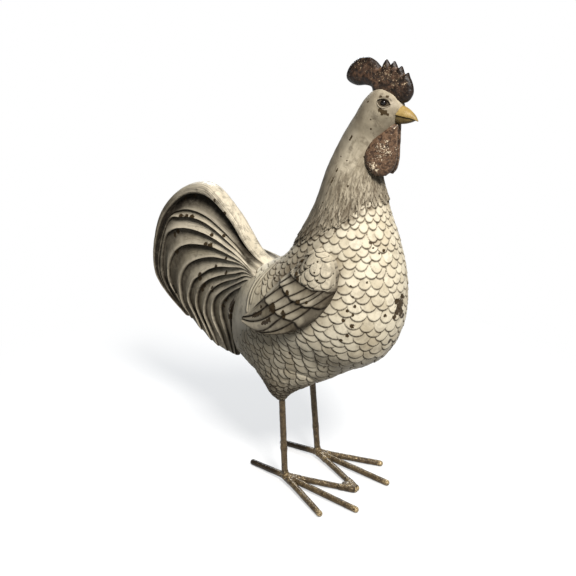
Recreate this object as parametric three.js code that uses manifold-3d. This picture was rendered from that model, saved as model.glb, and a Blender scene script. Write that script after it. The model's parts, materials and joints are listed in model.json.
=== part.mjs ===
// Weathered cast rooster standing on welded iron-rod legs.
// Millimetres. X runs towards the beak, Y to the bird's left and Z up.
// Heights in the body tables are measured from the thigh tips, where the rods leave the casting.

import * as THREE from 'three';
import { mergeVertices } from 'three/addons/utils/BufferGeometryUtils.js';
import Module from 'manifold-3d';

// Legs and feet
const legLength = 108;
const rodRadius = 4;
const ankleHalfSpacing = 35.3;
const thighHalfSpacing = 31.8;
const thighSetback = 6.9;
const middleToeLength = 111;
const innerToeLength = 94;
const outerToeLength = 88;
const rearToeLength = 60;
const outerToeAngle = 23;
const rearToeAngle = 4;
const innerToeMiss = 0.5;
const soleCut = 0.4;
const hubLift = 4;
const hubHeight = rodRadius - soleCut + hubLift;
const ankleBead = { length: 12, width: 8, height: 6.2, forward: 4 };
const tipBead = { length: 9, width: 4.2, height: 3.6, setback: 15 };

// Castings. The skin gap is measured across a station, so it is larger than the true gap on slopes
const shellWall = 6;
const seatGap = 0.3;
const skinGap = 0.5;
const cavityEnd = 16.2;
const throatStation = 3.9;
const cavityLap = 0.2;
const rodEmbed = 42;
const rodEndRoom = 1;
const sleeveWall = 2;
const sleeveStart = 14;
const sleeveLength = 26;

// Hackle fringe: where the neck casting ends over the body, in stations of the body table
const fringeMiddle = 7.47;
const fringeTilt = 0.85;
const tuftReach = 0.3;
const tuftThickness = 2.2;
const spigotReach = 1.3;

// Small castings on the head
const combThickness = 10;
const combBevel = { depth: 3, inset: 1.8, reach: 2, segments: 2 };
const combTenon = { length: 20, width: 4.5, height: 11, forward: 5, below: 3, lean: -8 };
const eyeRadius = 3.1;
const eyeSunk = 0.35;
const eyePlace = { x: 110.3, z: 370.8 };
const beakPlug = { radius: 2.4, length: 8 };
const wattleThickness = 9.5;
const wattleSplay = 29;

// Wings
const wingEdge = 2.5;
const wingSwell = 5.5;
const wingTaper = 0.4;
const shoulder = { swell: 4.5, at: 0.18, spread: 0.2 };
const wingTierStep = 1.4;
const wingTierEdge = 0.012;

// Tail
const tailRimHalf = 9;
const tailTipHalf = 5;
const tailWall = 3.5;
const tailEdgeHalf = 0.8;
const tailTipStart = 0.55;
const tailRoot = { swell: 26, spread: 65, x: -40, z: 147, from: 1.3, full: 4 };
const mainSickleProud = 2.5;
const featherStep = 3;
const featherStepStart = 0.22;
const tailTenon = { length: 44, width: 30, height: 34, x: -74, z: 143 };
const tailBore = { length: 74, width: 16, height: 18, x: -80, z: 151 };
const tailTenonLean = 140;

// The body from the crown to the vent, one row per station:
// back x, back z, front x, front z, half width
const bodyStations = [
  [95, 384, 109, 382, 4],
  [87, 378, 119, 375, 13],
  [79, 369, 125, 365, 18],
  [69, 353, 119, 349, 20],
  [59, 338, 108.5, 332, 20],
  [47, 316.5, 101, 311, 23],
  [36.5, 292.5, 99, 289, 29],
  [24, 254, 110, 252, 39.5],
  [5.5, 216.5, 124, 214, 52],
  [-15, 188, 133, 175, 62],
  [-38, 173, 132.5, 127, 69.5],
  [-62, 160, 114, 85, 69.5],
  [-76, 148, 75, 59, 64.5],
  [-87, 132, 39, 39.5, 57],
  [-97, 112, 10, 28, 48],
  [-104, 88, -18, 25, 38],
  [-105, 64, -48, 27, 27],
  [-98, 46, -74, 35, 10],
];
const lastStation = bodyStations.length - 1;

// Each thigh below the belly: height, shift behind the rod, radius
const thighRows = [
  [5.5, 0.5, 5.4],
  [7, 1.5, 7.5],
  [10.5, 2.9, 10.8],
  [17.5, 3, 17],
  [25, 1.5, 23],
  [33, -0.7, 30],
  [42, -3.7, 37],
  [54, -6.2, 42],
  [68, -7, 40],
  [82, -7, 33],
  [93, -7, 24],
];
const thighReach = 19;

// Guide lines of the tail fan from root to tip, x and z, from the outer edge down to the last feather
const tailGuides = [
  [[-38, 159], [-70, 179], [-103, 219], [-145, 250], [-194, 237], [-237, 189], [-248, 111], [-190, 60]],
  [[-39, 157], [-75, 175], [-111, 211], [-150, 232], [-190, 223], [-226, 181], [-237, 113], [-189, 60]],
  [[-40, 156], [-76, 172], [-111, 189], [-150, 203], [-189, 202], [-219, 178], [-228, 115], [-187, 59]],
  [[-40, 155], [-71, 167], [-106, 172], [-146, 174], [-183, 165], [-211, 143], [-218, 100], [-183, 57]],
  [[-40, 154], [-68, 160], [-98, 156], [-129, 147], [-155, 132], [-173, 111], [-180, 80], [-169, 47]],
  [[-40, 152], [-62, 151], [-86, 143], [-108, 132], [-129, 117], [-145, 97], [-151, 68], [-141, 31]],
  [[-46, 143], [-58, 136], [-71, 126], [-84, 114], [-94, 101], [-102, 85], [-106, 60], [-104, 25]],
];
// Lower edge of every feather, counted in guide lines
const featherEdges = [1, 1.6, 2, 2.5, 3, 3.5, 4, 4.5, 5, 5.33, 5.67, 6];

// Wing outline, x and z: the upper and the lower edge from the shoulder to the tip
const wingUpper = [[61, 219], [44, 209], [26, 188], [12, 174], [-6, 154], [-22, 136], [-35, 123], [-48, 113]];
const wingLower = [[78, 212], [86, 201], [88, 178], [76, 151], [56, 131], [27, 115], [-10, 106], [-46, 108]];
const wingTiers = [0.31, 0.45, 0.6];

// Comb outline, x and z from the middle of the crown, clockwise from the back of the rear lobe
const combOutline = [
  [-46, 10], [-42, 20], [-32, 28], [-20, 30], [-11.5, 27], [-6, 22.5], [-3.8, 20.8], [-1.8, 25], [1.3, 28.7],
  [4, 26], [5.8, 23.6], [7.4, 25], [10.3, 27.4], [12.6, 24.4], [14.4, 21.2], [16, 21.6], [18.6, 22.9],
  [20.4, 20], [22, 15.8], [24, 16], [26.4, 16.8], [28.2, 12.5], [30, 9.5], [32.2, 4], [32.8, -3],
  [29, -10], [23, -13], [12, -13], [-2, -11], [-12, -9], [-14, 0], [-22, 2], [-32, 1], [-42, 4],
];

// Wattle rows from top to bottom:
// height, how far the front edge lies back, half chord, half thickness as a share of the thickness
const wattleRows = [
  [349, 0, 5, 0.36],
  [342, 0, 8.5, 0.42],
  [332, 0, 13, 0.47],
  [320, 0, 16.3, 0.5],
  [309, 0.8, 16, 0.5],
  [300.5, 4.5, 12, 0.42],
  [295, 11, 5.5, 0.2],
];
const wattleFrontEdge = { x: 121.3, y: 1.6 };

// Beak rows from the head to the tip:
// x, mouth height, then depth and half width of the upper and of the lower half
const beakRows = [
  [112, 359.5, 9, 7.5, 8, 6.5],
  [121, 358.4, 9.8, 8.6, 9, 7.6],
  [129, 357.3, 8.8, 7.2, 7.2, 6],
  [135.5, 356.2, 5.8, 4.8, 4.2, 3.8],
  [139.4, 355.1, 3.4, 2.9, 1.4, 1.6],
  [142.4, 353.2, 1, 0.9],
];

// Finishes
const creamPaint = { color: 0xc9c0ac, roughness: 0.72, metalness: 0 };
const combBrown = { color: 0x5a3527, roughness: 0.6, metalness: 0 };
const beakOchre = { color: 0xc9a14a, roughness: 0.5, metalness: 0 };
const eyeGloss = { color: 0x15110d, roughness: 0.12, metalness: 0 };
const ironBronze = { color: 0x6b5a45, roughness: 0.6, metalness: 0.5 };
const sleeveSteel = { color: 0x8d8d88, roughness: 0.4, metalness: 1 };

// Solids and cuts
const wasm = await Module();
wasm.setup();

function solidFrom(geometry) {
  const bare = geometry.clone();
  bare.deleteAttribute('normal');
  bare.deleteAttribute('uv');
  const merged = mergeVertices(bare, 1e-4);
  return new wasm.Manifold(new wasm.Mesh({
    numProp: 3,
    vertProperties: merged.attributes.position.array,
    triVerts: new Uint32Array(merged.index.array),
  }));
}

function geometryFrom(solid) {
  const mesh = solid.getMesh();
  const geometry = new THREE.BufferGeometry();
  geometry.setAttribute('position', new THREE.BufferAttribute(mesh.vertProperties, 3));
  geometry.setIndex(new THREE.BufferAttribute(mesh.triVerts, 1));
  geometry.computeVertexNormals();
  return geometry;
}

// A closed mesh from points and triangles, turned so that its faces point out
function closedGeometry(points, triangles) {
  let volume = 0;
  for (const [a, b, c] of triangles) {
    volume += points[a].dot(new THREE.Vector3().crossVectors(points[b], points[c]));
  }
  const index = triangles.flatMap(([a, b, c]) => (volume > 0 ? [a, b, c] : [a, c, b]));
  const geometry = new THREE.BufferGeometry().setFromPoints(points);
  geometry.setIndex(index);
  return geometry;
}

// A skin over closed rings with the same number of points, capped at both ends
function ringSolid(rings) {
  const count = rings[0].length;
  const points = rings.flat();
  const triangles = [];
  for (let row = 0; row < rings.length - 1; row++) {
    for (let i = 0; i < count; i++) {
      const a = row * count + i;
      const b = row * count + (i + 1) % count;
      triangles.push([a, b, b + count], [a, b + count, a + count]);
    }
  }
  const first = points.length;
  points.push(middleOf(rings[0]), middleOf(rings.at(-1)));
  const lastRow = (rings.length - 1) * count;
  for (let i = 0; i < count; i++) {
    const next = (i + 1) % count;
    triangles.push([first, next, i], [first + 1, lastRow + i, lastRow + next]);
  }
  return solidFrom(closedGeometry(points, triangles));
}

function middleOf(ring) {
  return ring.reduce((sum, p) => sum.add(p), new THREE.Vector3()).divideScalar(ring.length);
}

// A slab between two grids of points with the same rows and columns
function slabSolid(front, back) {
  const rows = front.length;
  const columns = front[0].length;
  const points = [...front.flat(), ...back.flat()];
  const far = rows * columns;
  const at = (row, column) => row * columns + column;
  const triangles = [];
  const quad = (a, b, c, d) => triangles.push([a, b, c], [a, c, d]);
  for (let row = 0; row < rows - 1; row++) {
    for (let column = 0; column < columns - 1; column++) {
      const [a, b] = [at(row, column), at(row, column + 1)];
      const [c, d] = [at(row + 1, column + 1), at(row + 1, column)];
      quad(a, b, c, d);
      quad(far + d, far + c, far + b, far + a);
    }
  }
  for (let column = 0; column < columns - 1; column++) {
    const [a, b] = [at(0, column), at(0, column + 1)];
    const [c, d] = [at(rows - 1, column), at(rows - 1, column + 1)];
    quad(b, a, far + a, far + b);
    quad(c, d, far + d, far + c);
  }
  for (let row = 0; row < rows - 1; row++) {
    const [a, b] = [at(row, 0), at(row + 1, 0)];
    const [c, d] = [at(row, columns - 1), at(row + 1, columns - 1)];
    quad(a, b, far + b, far + a);
    quad(d, c, far + c, far + d);
  }
  return solidFrom(closedGeometry(points, triangles));
}

function placedBox(width, depth, height, position, leanDegrees = 0) {
  const box = new THREE.BoxGeometry(width, depth, height);
  box.rotateY(THREE.MathUtils.degToRad(-leanDegrees));
  box.translate(position.x, position.y, position.z);
  return solidFrom(box);
}

// The part of a solid beyond a height or on one side of the middle plane
const halfSpace = 1000;

function above(solid, height) {
  return solid.intersect(placedBox(halfSpace, halfSpace, halfSpace,
    new THREE.Vector3(0, 0, halfSpace / 2 + height)));
}

function onSide(solid, side, clear = 0) {
  return solid.intersect(placedBox(halfSpace, halfSpace, halfSpace,
    new THREE.Vector3(0, side * (halfSpace / 2 + clear), 0)));
}

// A rod or bore between two points
function roundBar(start, end, radius, sides = 14) {
  const length = start.distanceTo(end);
  const bar = new THREE.CylinderGeometry(radius, radius, length, sides);
  bar.translate(0, length / 2, 0);
  bar.applyQuaternion(turnFromUp(start, end));
  bar.translate(start.x, start.y, start.z);
  return solidFrom(bar);
}

function turnFromUp(start, end) {
  const direction = end.clone().sub(start).normalize();
  return new THREE.Quaternion().setFromUnitVectors(new THREE.Vector3(0, 1, 0), direction);
}

function ellipsoid(centre, rx, ry, rz, sides = 14) {
  const ball = new THREE.SphereGeometry(1, sides, Math.round(sides / 2) + 1);
  ball.scale(rx, ry, rz);
  ball.translate(centre.x, centre.y, centre.z);
  return solidFrom(ball);
}

// Smooth tables: a value between rows follows a curve through the rows
function along(table, position) {
  const last = table.length - 1;
  const clamped = Math.min(Math.max(position, 0), last);
  const i = Math.min(Math.floor(clamped), last - 1);
  const t = clamped - i;
  const row = (k) => table[Math.min(Math.max(k, 0), last)];
  const [p, q, r, s] = [row(i - 1), row(i), row(i + 1), row(i + 2)];
  return q.map((_, k) => q[k] + 0.5 * t * ((r[k] - p[k])
    + t * ((2 * p[k] - 5 * q[k] + 4 * r[k] - s[k])
    + t * (3 * (q[k] - r[k]) + s[k] - p[k]))));
}

function smoothStep(low, high, value) {
  return THREE.MathUtils.smoothstep(value, low, high);
}

function lerp(a, b, t) {
  return a + (b - a) * t;
}

// A point of the body's skin: turn 0 is the breast, a quarter turn is the bird's right
function skinPoint(turn, station, grow = 0) {
  const [backX, backZ, frontX, frontZ, halfWidth] = along(bodyStations, station);
  const span = Math.hypot(frontX - backX, frontZ - backZ);
  const reach = (span / 2 + grow) * Math.cos(turn);
  return new THREE.Vector3(
    (backX + frontX) / 2 + reach * (frontX - backX) / span,
    -(halfWidth + grow) * Math.sin(turn),
    (backZ + frontZ) / 2 + reach * (frontZ - backZ) / span,
  );
}

// Half width of the body's skin at a point of the side view, or 0 outside it
function flank(x, z) {
  let low = 0;
  let high = lastStation;
  const side = (station) => {
    const [backX, backZ, frontX, frontZ] = along(bodyStations, station);
    return (frontX - backX) * (z - backZ) - (frontZ - backZ) * (x - backX);
  };
  if (side(low) > 0 || side(high) < 0) {
    return 0;
  }
  for (let step = 0; step < 30; step++) {
    const middle = (low + high) / 2;
    if (side(middle) < 0) {
      low = middle;
    } else {
      high = middle;
    }
  }
  const [backX, backZ, frontX, frontZ, halfWidth] = along(bodyStations, low);
  const span = Math.hypot(frontX - backX, frontZ - backZ);
  const reach = 2 * Math.hypot(x - (backX + frontX) / 2, z - (backZ + frontZ) / 2) / span;
  return reach < 1 ? halfWidth * Math.sqrt(1 - reach * reach) : 0;
}

function turns(count) {
  return Array.from({ length: count }, (_, i) => (i / count) * 2 * Math.PI);
}

function fringeStation(turn) {
  return fringeMiddle - fringeTilt * Math.cos(turn);
}

// How far the body steps in under the neck casting
function spigotInset(turn, station) {
  const above = fringeStation(turn) - station;
  return (shellWall + seatGap) * smoothStep(0.35, 0.9, above);
}

const spigotRows = [spigotReach, 0.9, 0.6, 0.35, 0];

// The body's skin from the top of the spigot to the vent
function bodySolid({ sides, rows }, inset, topExtra, endStation) {
  const rings = [];
  for (const above of [spigotReach + topExtra, ...spigotRows.slice(1)]) {
    rings.push(turns(sides).map((turn) => {
      const station = fringeStation(turn) - above;
      return skinPoint(turn, station, -spigotInset(turn, station) - inset);
    }));
  }
  for (let row = 1; row <= rows; row++) {
    rings.push(turns(sides).map((turn) => {
      const station = lerp(fringeStation(turn), endStation, row / rows);
      return skinPoint(turn, station, -inset);
    }));
  }
  return ringSolid(rings);
}

function rodAxis(side) {
  const ankle = new THREE.Vector3(0, side * ankleHalfSpacing, hubHeight - legLength);
  const thigh = new THREE.Vector3(-thighSetback, side * thighHalfSpacing, 0);
  const direction = thigh.clone().sub(ankle).normalize();
  const at = (beyond) => thigh.clone().addScaledVector(direction, beyond);
  return { ankle, at };
}

function thighSolid(side, sides = 18) {
  return ringSolid(thighRows.map(([height, shift, radius]) => turns(sides).map((turn) => new THREE.Vector3(
    -thighSetback - shift + radius * Math.cos(turn),
    side * thighHalfSpacing + thighReach * Math.tanh(radius / thighReach) * Math.sin(turn),
    height,
  ))));
}

// Body: one hollow casting in two halves that meet on the middle plane
const bodyMesh = { sides: 48, rows: 22 };
const cavityMesh = { sides: 24, rows: 8 };
const grownBody = bodySolid(bodyMesh, -skinGap, 0.05, lastStation);
let body = bodySolid(bodyMesh, 0, 0, lastStation);
for (const side of [-1, 1]) {
  body = body.add(thighSolid(side));
}
body = body.subtract(bodySolid(cavityMesh, shellWall, 0.5, cavityEnd));
body = body.subtract(tailTenonSolid(seatGap));
const boreRun = 10;
const sleeveRadius = rodRadius + seatGap + sleeveWall;
for (const side of [-1, 1]) {
  const { at } = rodAxis(side);
  const boreTop = at(rodEmbed + rodEndRoom);
  body = body.subtract(roundBar(at(-boreRun), boreTop, rodRadius + seatGap));
  body = body.subtract(roundBar(at(sleeveStart - seatGap), boreTop, sleeveRadius + seatGap));
}

// Neck and head: a hollow casting open at the fringe, solid above the throat
const neckMesh = { sides: 36, rows: 13 };
const lip = seatGap + tuftThickness;
const neckSkin = neckEnvelope(0);
const grownNeck = neckEnvelope(skinGap);

function tuft(index) {
  return index % 2 === 0 ? tuftReach : -tuftReach / 3;
}

// The outside of the neck and head, closed across the fringe
function neckEnvelope(grow) {
  const { sides, rows } = neckMesh;
  const around = turns(sides);
  const rings = [
    around.map((turn, i) => skinPoint(turn, fringeStation(turn) + tuft(i), -shellWall)),
    around.map((turn, i) => skinPoint(turn, fringeStation(turn) + tuft(i), lip * 0.7 + grow)),
    around.map((turn) => skinPoint(turn, fringeStation(turn) - tuftReach, lip + grow)),
  ];
  for (let row = 1; row <= rows; row++) {
    rings.push(around.map((turn) => {
      const station = lerp(fringeStation(turn) - tuftReach, 0, row / rows);
      const flare = lip * (1 - smoothStep(tuftReach, 2, fringeStation(turn) - station));
      return skinPoint(turn, station, flare + grow);
    }));
  }
  rings.at(-1).forEach((point) => point.setZ(point.z + grow));
  return ringSolid(rings);
}

function neckCavity() {
  const rows = 4;
  const rings = [];
  for (let row = 0; row <= rows; row++) {
    rings.push(turns(18).map((turn) => {
      const station = lerp(throatStation, fringeStation(turn) - spigotReach + cavityLap, row / rows);
      return skinPoint(turn, station, -shellWall);
    }));
  }
  return ringSolid(rings);
}

// Comb with a tenon that drops into a slot in the crown
const crown = skinPoint(0, 0).add(skinPoint(Math.PI, 0)).divideScalar(2);

function combTenonSolid(clearance) {
  const { length, width, height, forward, below, lean } = combTenon;
  const middle = new THREE.Vector3(crown.x + forward, 0, crown.z - below - height / 2);
  return placedBox(length + 2 * clearance, width + 2 * clearance, height + 2 * clearance, middle, lean);
}

function combSolid() {
  const shape = new THREE.Shape();
  const corners = combOutline.map(([x, z]) => new THREE.Vector2(crown.x + x, crown.z + z));
  shape.moveTo(corners[0].x, corners[0].y);
  shape.splineThru([...corners.slice(1), corners[0]]);
  const outlinePoints = shape.getSpacedPoints(52).slice(0, -1);
  const plate = new THREE.ExtrudeGeometry(new THREE.Shape(outlinePoints), {
    depth: combThickness - 2 * combBevel.depth,
    bevelThickness: combBevel.depth,
    bevelSize: combBevel.reach,
    bevelOffset: -combBevel.inset,
    bevelSegments: combBevel.segments,
    curveSegments: 1,
  });
  plate.translate(0, 0, combBevel.depth - combThickness / 2);
  plate.rotateX(Math.PI / 2);
  return solidFrom(plate).subtract(grownNeck).add(combTenonSolid(0));
}

// Beak halves: half-round rows on either side of the mouth line, each with a plug into the head
function beakRow([x, mouth, ...sizes], up) {
  const [depth, halfWidth] = up > 0 ? sizes : sizes.slice(2);
  return { x, mouth: up > 0 ? mouth : mouth - seatGap, depth, halfWidth };
}

function beakSolid(up) {
  const arc = 9;
  const rows = beakRows.map((row) => beakRow(row, up)).filter((row) => row.depth);
  return ringSolid(rows.map(({ x, mouth, depth, halfWidth }) => {
    const ring = [];
    for (let i = 0; i <= arc; i++) {
      const angle = (i / arc) * Math.PI;
      ring.push(new THREE.Vector3(x, halfWidth * Math.cos(angle), mouth + up * depth * Math.sin(angle)));
    }
    for (const share of [-0.5, 0, 0.5]) {
      ring.push(new THREE.Vector3(x, halfWidth * share, mouth));
    }
    return ring;
  }));
}

function beakPlugSolid(up, clearance) {
  const { x, mouth, depth } = beakRow(beakRows[1], up);
  const height = mouth + up * depth * 0.5;
  const inner = new THREE.Vector3(x - beakPlug.length - clearance, 0, height);
  const outer = new THREE.Vector3(x + beakPlug.length, 0, height);
  return roundBar(inner, outer, beakPlug.radius + clearance, 10);
}

function beakHalf(up) {
  return beakSolid(up).subtract(grownNeck).add(beakPlugSolid(up, 0));
}

// Eye bead, or its socket in the head
function eyeSolid(side, clearance) {
  const { x, z } = eyePlace;
  const centre = new THREE.Vector3(x, side * (flank(x, z) - eyeRadius * eyeSunk), z);
  const radius = eyeRadius + clearance;
  return ellipsoid(centre, radius, radius, radius);
}

// Wattle: a splayed teardrop that lies against the throat
function wattleSolid(side, sides = 14) {
  const splay = THREE.MathUtils.degToRad(wattleSplay);
  const chord = new THREE.Vector3(-Math.cos(splay), side * Math.sin(splay), 0);
  const across = new THREE.Vector3(-chord.y, chord.x, 0);
  const rings = wattleRows.map(([height, setback, halfChord, share]) => {
    const centre = new THREE.Vector3(wattleFrontEdge.x, side * wattleFrontEdge.y, height);
    centre.addScaledVector(chord, setback + halfChord);
    return turns(sides).map((turn) => centre.clone()
      .addScaledVector(chord, halfChord * Math.cos(turn))
      .addScaledVector(across, wattleThickness * share * Math.sin(turn)));
  });
  return ringSolid(rings).subtract(grownNeck);
}

// Wing: a relief casting that follows the flank, proud at the shoulder and along its lower edge
function wingPoint(length, width) {
  const upper = along(wingUpper, length * (wingUpper.length - 1));
  const lower = along(wingLower, length * (wingLower.length - 1));
  return { x: lerp(upper[0], lower[0], width), z: lerp(upper[1], lower[1], width) };
}

function wingRelief(length, width) {
  const offShoulder = (length - shoulder.at) / shoulder.spread;
  const bulge = shoulder.swell * Math.exp(-(offShoulder ** 2)) * Math.sin(Math.PI * width);
  const passed = wingTiers.filter((tier) => length > tier);
  const start = passed.at(-1) ?? 0;
  const end = wingTiers[passed.length] ?? 1;
  const tier = wingTierStep * ((length - start) / (end - start));
  return (wingEdge + wingSwell * width ** 0.7) * (1 - wingTaper * length) + bulge + tier;
}

function wingSolid(side) {
  const stops = [...wingTiers, 1].flatMap((tier, i) => {
    const start = i === 0 ? 0 : wingTiers[i - 1] + wingTierEdge;
    return [0, 1 / 3, 2 / 3, 1].map((share) => lerp(start, tier, share));
  });
  const columns = 8;
  const grid = (height) => stops.map((length) => Array.from({ length: columns + 1 }, (_, i) => {
    const { x, z } = wingPoint(length, i / columns);
    return new THREE.Vector3(x, side * (flank(x, z) + height(length, i / columns)), z);
  }));
  return slabSolid(grid(wingRelief), grid(() => -wingEdge)).subtract(grownBody);
}

// Tail: a hollow fan of stepped sickle feathers, the same on both sides
function tailPoint(guide, length) {
  const lines = tailGuides.map((line) => along(line, length * (line.length - 1)));
  return along(lines, guide);
}

function tailHalf(guide, length) {
  const [x, z] = tailPoint(guide, length);
  const distance = Math.hypot(x - tailRoot.x, z - tailRoot.z) / tailRoot.spread;
  const below = smoothStep(tailRoot.from, tailRoot.full, guide);
  const swell = tailRoot.swell * Math.exp(-distance * distance) * below;
  return lerp(tailRimHalf + swell, tailTipHalf, smoothStep(tailTipStart, 1, length));
}

// How round and how proud the fan is across the feathers
function tailRelief(guide) {
  if (guide <= featherEdges[0]) {
    const rise = Math.min(guide / (0.6 * featherEdges[0]), 1);
    return { share: Math.sqrt(1 - (1 - rise) ** 2), proud: mainSickleProud };
  }
  const next = featherEdges.findIndex((edge) => guide <= edge);
  const across = (guide - featherEdges[next - 1]) / (featherEdges[next] - featherEdges[next - 1]);
  return { share: 1, proud: featherStep * (across - 1) };
}

function tailSolid() {
  const main = [0, 0.05, 0.2, 0.4, 0.7, 1];
  const rest = featherEdges.slice(1).flatMap((edge, i) => [lerp(featherEdges[i], edge, 0.06), edge]);
  const guides = [...main, ...rest];
  const steps = 20;
  const grid = (side) => Array.from({ length: steps + 1 }, (_, row) => {
    const length = row / steps;
    const fade = smoothStep(0, featherStepStart, length) * (1 - 0.6 * smoothStep(tailTipStart, 1, length));
    return guides.map((guide) => {
      const [x, z] = tailPoint(guide, length);
      const { share, proud } = tailRelief(guide);
      const half = share * (tailHalf(guide, length) + proud * fade);
      return new THREE.Vector3(x, side * Math.max(half, tailEdgeHalf), z);
    });
  });
  return slabSolid(grid(-1), grid(1));
}

function tailTenonSolid(clearance) {
  const { length, width, height, x, z } = tailTenon;
  return placedBox(length + 2 * clearance, width + 2 * clearance, height + 2 * clearance,
    new THREE.Vector3(x, 0, z), tailTenonLean);
}

function tailBoreSolid() {
  const { length, width, height, x, z } = tailBore;
  return placedBox(length, width, height, new THREE.Vector3(x, 0, z), tailTenonLean);
}

function tailCavity() {
  const guides = [0.75, 1.6, 2.5, 3.5, 4.5, 5.2];
  const lengths = [0.3, 0.42, 0.54, 0.66, 0.78];
  const grid = (side) => lengths.map((length) => guides.map((guide) => {
    const [x, z] = tailPoint(guide, length);
    const half = tailHalf(guide, length) - featherStep - tailWall;
    return new THREE.Vector3(x, side * Math.max(half, 1), z);
  }));
  return slabSolid(grid(-1), grid(1));
}

// Legs: rods leaning from the welded ankles up into steel sleeves in the thighs
function beadSolid(side, grow) {
  return ellipsoid(new THREE.Vector3(ankleBead.forward, side * ankleHalfSpacing, hubHeight),
    ankleBead.length + grow, ankleBead.width + grow, ankleBead.height + grow, 16);
}

// A toe rod lying on the ground from the ankle, round at its tip
function toeSolid(side, length, degrees, grow = 0) {
  const radius = rodRadius + grow;
  const profile = [new THREE.Vector2(0, 0), new THREE.Vector2(radius, 0)];
  for (let i = 0; i <= 3; i++) {
    const angle = (i / 3) * Math.PI / 2;
    const reach = length - rodRadius + radius * Math.sin(angle);
    profile.push(new THREE.Vector2(i === 3 ? 0 : radius * Math.cos(angle), reach));
  }
  const rod = new THREE.LatheGeometry(profile, 12);
  rod.rotateY(Math.PI / 12);
  rod.rotateZ(-Math.PI / 2);
  rod.rotateY(Math.asin(hubLift / (length - rodRadius)));
  rod.rotateZ(THREE.MathUtils.degToRad(degrees));
  rod.translate(0, side * ankleHalfSpacing, hubHeight);
  return solidFrom(rod);
}

const innerToeAngle = THREE.MathUtils.radToDeg(Math.asin((ankleHalfSpacing - innerToeMiss) / innerToeLength));

function footSolids(side) {
  const bead = beadSolid(side, seatGap);
  const middle = toeSolid(side, middleToeLength, 0);
  const grown = toeSolid(side, middleToeLength, 0, seatGap);
  const inner = onSide(toeSolid(side, innerToeLength, -side * innerToeAngle), side, seatGap / 2);
  const outer = toeSolid(side, outerToeLength, side * outerToeAngle);
  const rear = toeSolid(side, rearToeLength, 180 + side * rearToeAngle);
  return {
    toe_middle: above(middle.subtract(bead), 0),
    toe_inner: above(inner.subtract(bead).subtract(grown), 0),
    toe_outer: above(outer.subtract(bead).subtract(grown), 0),
    toe_rear: above(rear.subtract(bead), 0),
  };
}

function tipWeldSolid() {
  const tipX = innerToeLength * Math.cos(THREE.MathUtils.degToRad(innerToeAngle));
  let weld = ellipsoid(new THREE.Vector3(tipX - tipBead.setback, 0, rodRadius - soleCut),
    tipBead.length, tipBead.width, tipBead.height, 12);
  for (const side of [-1, 1]) {
    weld = weld.subtract(toeSolid(side, innerToeLength, -side * innerToeAngle, seatGap));
  }
  return weld;
}

// Scene
const rooster = new THREE.Group();
const castings = new THREE.Group();
const feet = new THREE.Group();
castings.position.z = legLength;
rooster.add(castings, feet);

function addPiece(group, name, solid, finish) {
  const mesh = new THREE.Mesh(geometryFrom(solid), new THREE.MeshStandardMaterial(finish));
  mesh.name = name;
  group.add(mesh);
}

let neck = neckSkin
  .subtract(grownBody)
  .subtract(neckCavity())
  .subtract(combTenonSolid(seatGap))
  .subtract(beakPlugSolid(1, seatGap))
  .subtract(beakPlugSolid(-1, seatGap));
const tail = tailSolid()
  .subtract(grownBody)
  .add(tailTenonSolid(0))
  .subtract(tailCavity())
  .subtract(tailBoreSolid());

for (const [side, word] of [[1, 'left'], [-1, 'right']]) {
  const { ankle, at } = rodAxis(side);
  const rodTop = at(rodEmbed);
  const bead = beadSolid(side, seatGap).translate([0, 0, -legLength]);
  const sleeve = roundBar(at(sleeveStart), at(sleeveStart + sleeveLength), sleeveRadius)
    .subtract(roundBar(ankle, rodTop, rodRadius + seatGap));
  neck = neck.subtract(eyeSolid(side, seatGap));
  addPiece(castings, `body_shell_${word}`, onSide(body, side), creamPaint);
  addPiece(castings, `wing_${word}`, wingSolid(side), creamPaint);
  addPiece(castings, `eye_${word}`, eyeSolid(side, 0), eyeGloss);
  addPiece(castings, `wattle_${word}`, wattleSolid(side), combBrown);
  addPiece(castings, `leg_sleeve_${word}`, sleeve, sleeveSteel);
  addPiece(castings, `leg_rod_${word}`, roundBar(ankle, rodTop, rodRadius).subtract(bead), ironBronze);
  addPiece(feet, `ankle_weld_${word}`, beadSolid(side, 0), ironBronze);
  for (const [toe, solid] of Object.entries(footSolids(side))) {
    addPiece(feet, `${word}_${toe}`, solid, ironBronze);
  }
}
addPiece(castings, 'neck_and_head', neck, creamPaint);
addPiece(castings, 'comb', combSolid(), combBrown);
addPiece(castings, 'beak_upper', beakHalf(1), beakOchre);
addPiece(castings, 'beak_lower', beakHalf(-1), beakOchre);
addPiece(castings, 'tail_fan', tail, creamPaint);
addPiece(feet, 'toe_tip_weld', tipWeldSolid(), ironBronze);

// The origin lies on the ground under the middle of the outline
const outline = new THREE.Box3().setFromObject(rooster);
const sculpture = new THREE.Group();
rooster.position.set(-(outline.min.x + outline.max.x) / 2, -(outline.min.y + outline.max.y) / 2, 0);
sculpture.add(rooster);

export default sculpture;
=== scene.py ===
# %% [markdown]
# The photograph shows a weathered rooster: a cast body with carved feathers and an old cream
# wash, a brown comb and wattles, an ochre beak, and legs and toes of welded iron rod. The packed
# model gives every piece its place and size. Here each piece is made again with its carving, so
# the scene starts by loading that model and by noting the box that it fills.

import json
import math

import bmesh
import bpy
import numpy as np
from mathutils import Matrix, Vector, geometry, noise

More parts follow.
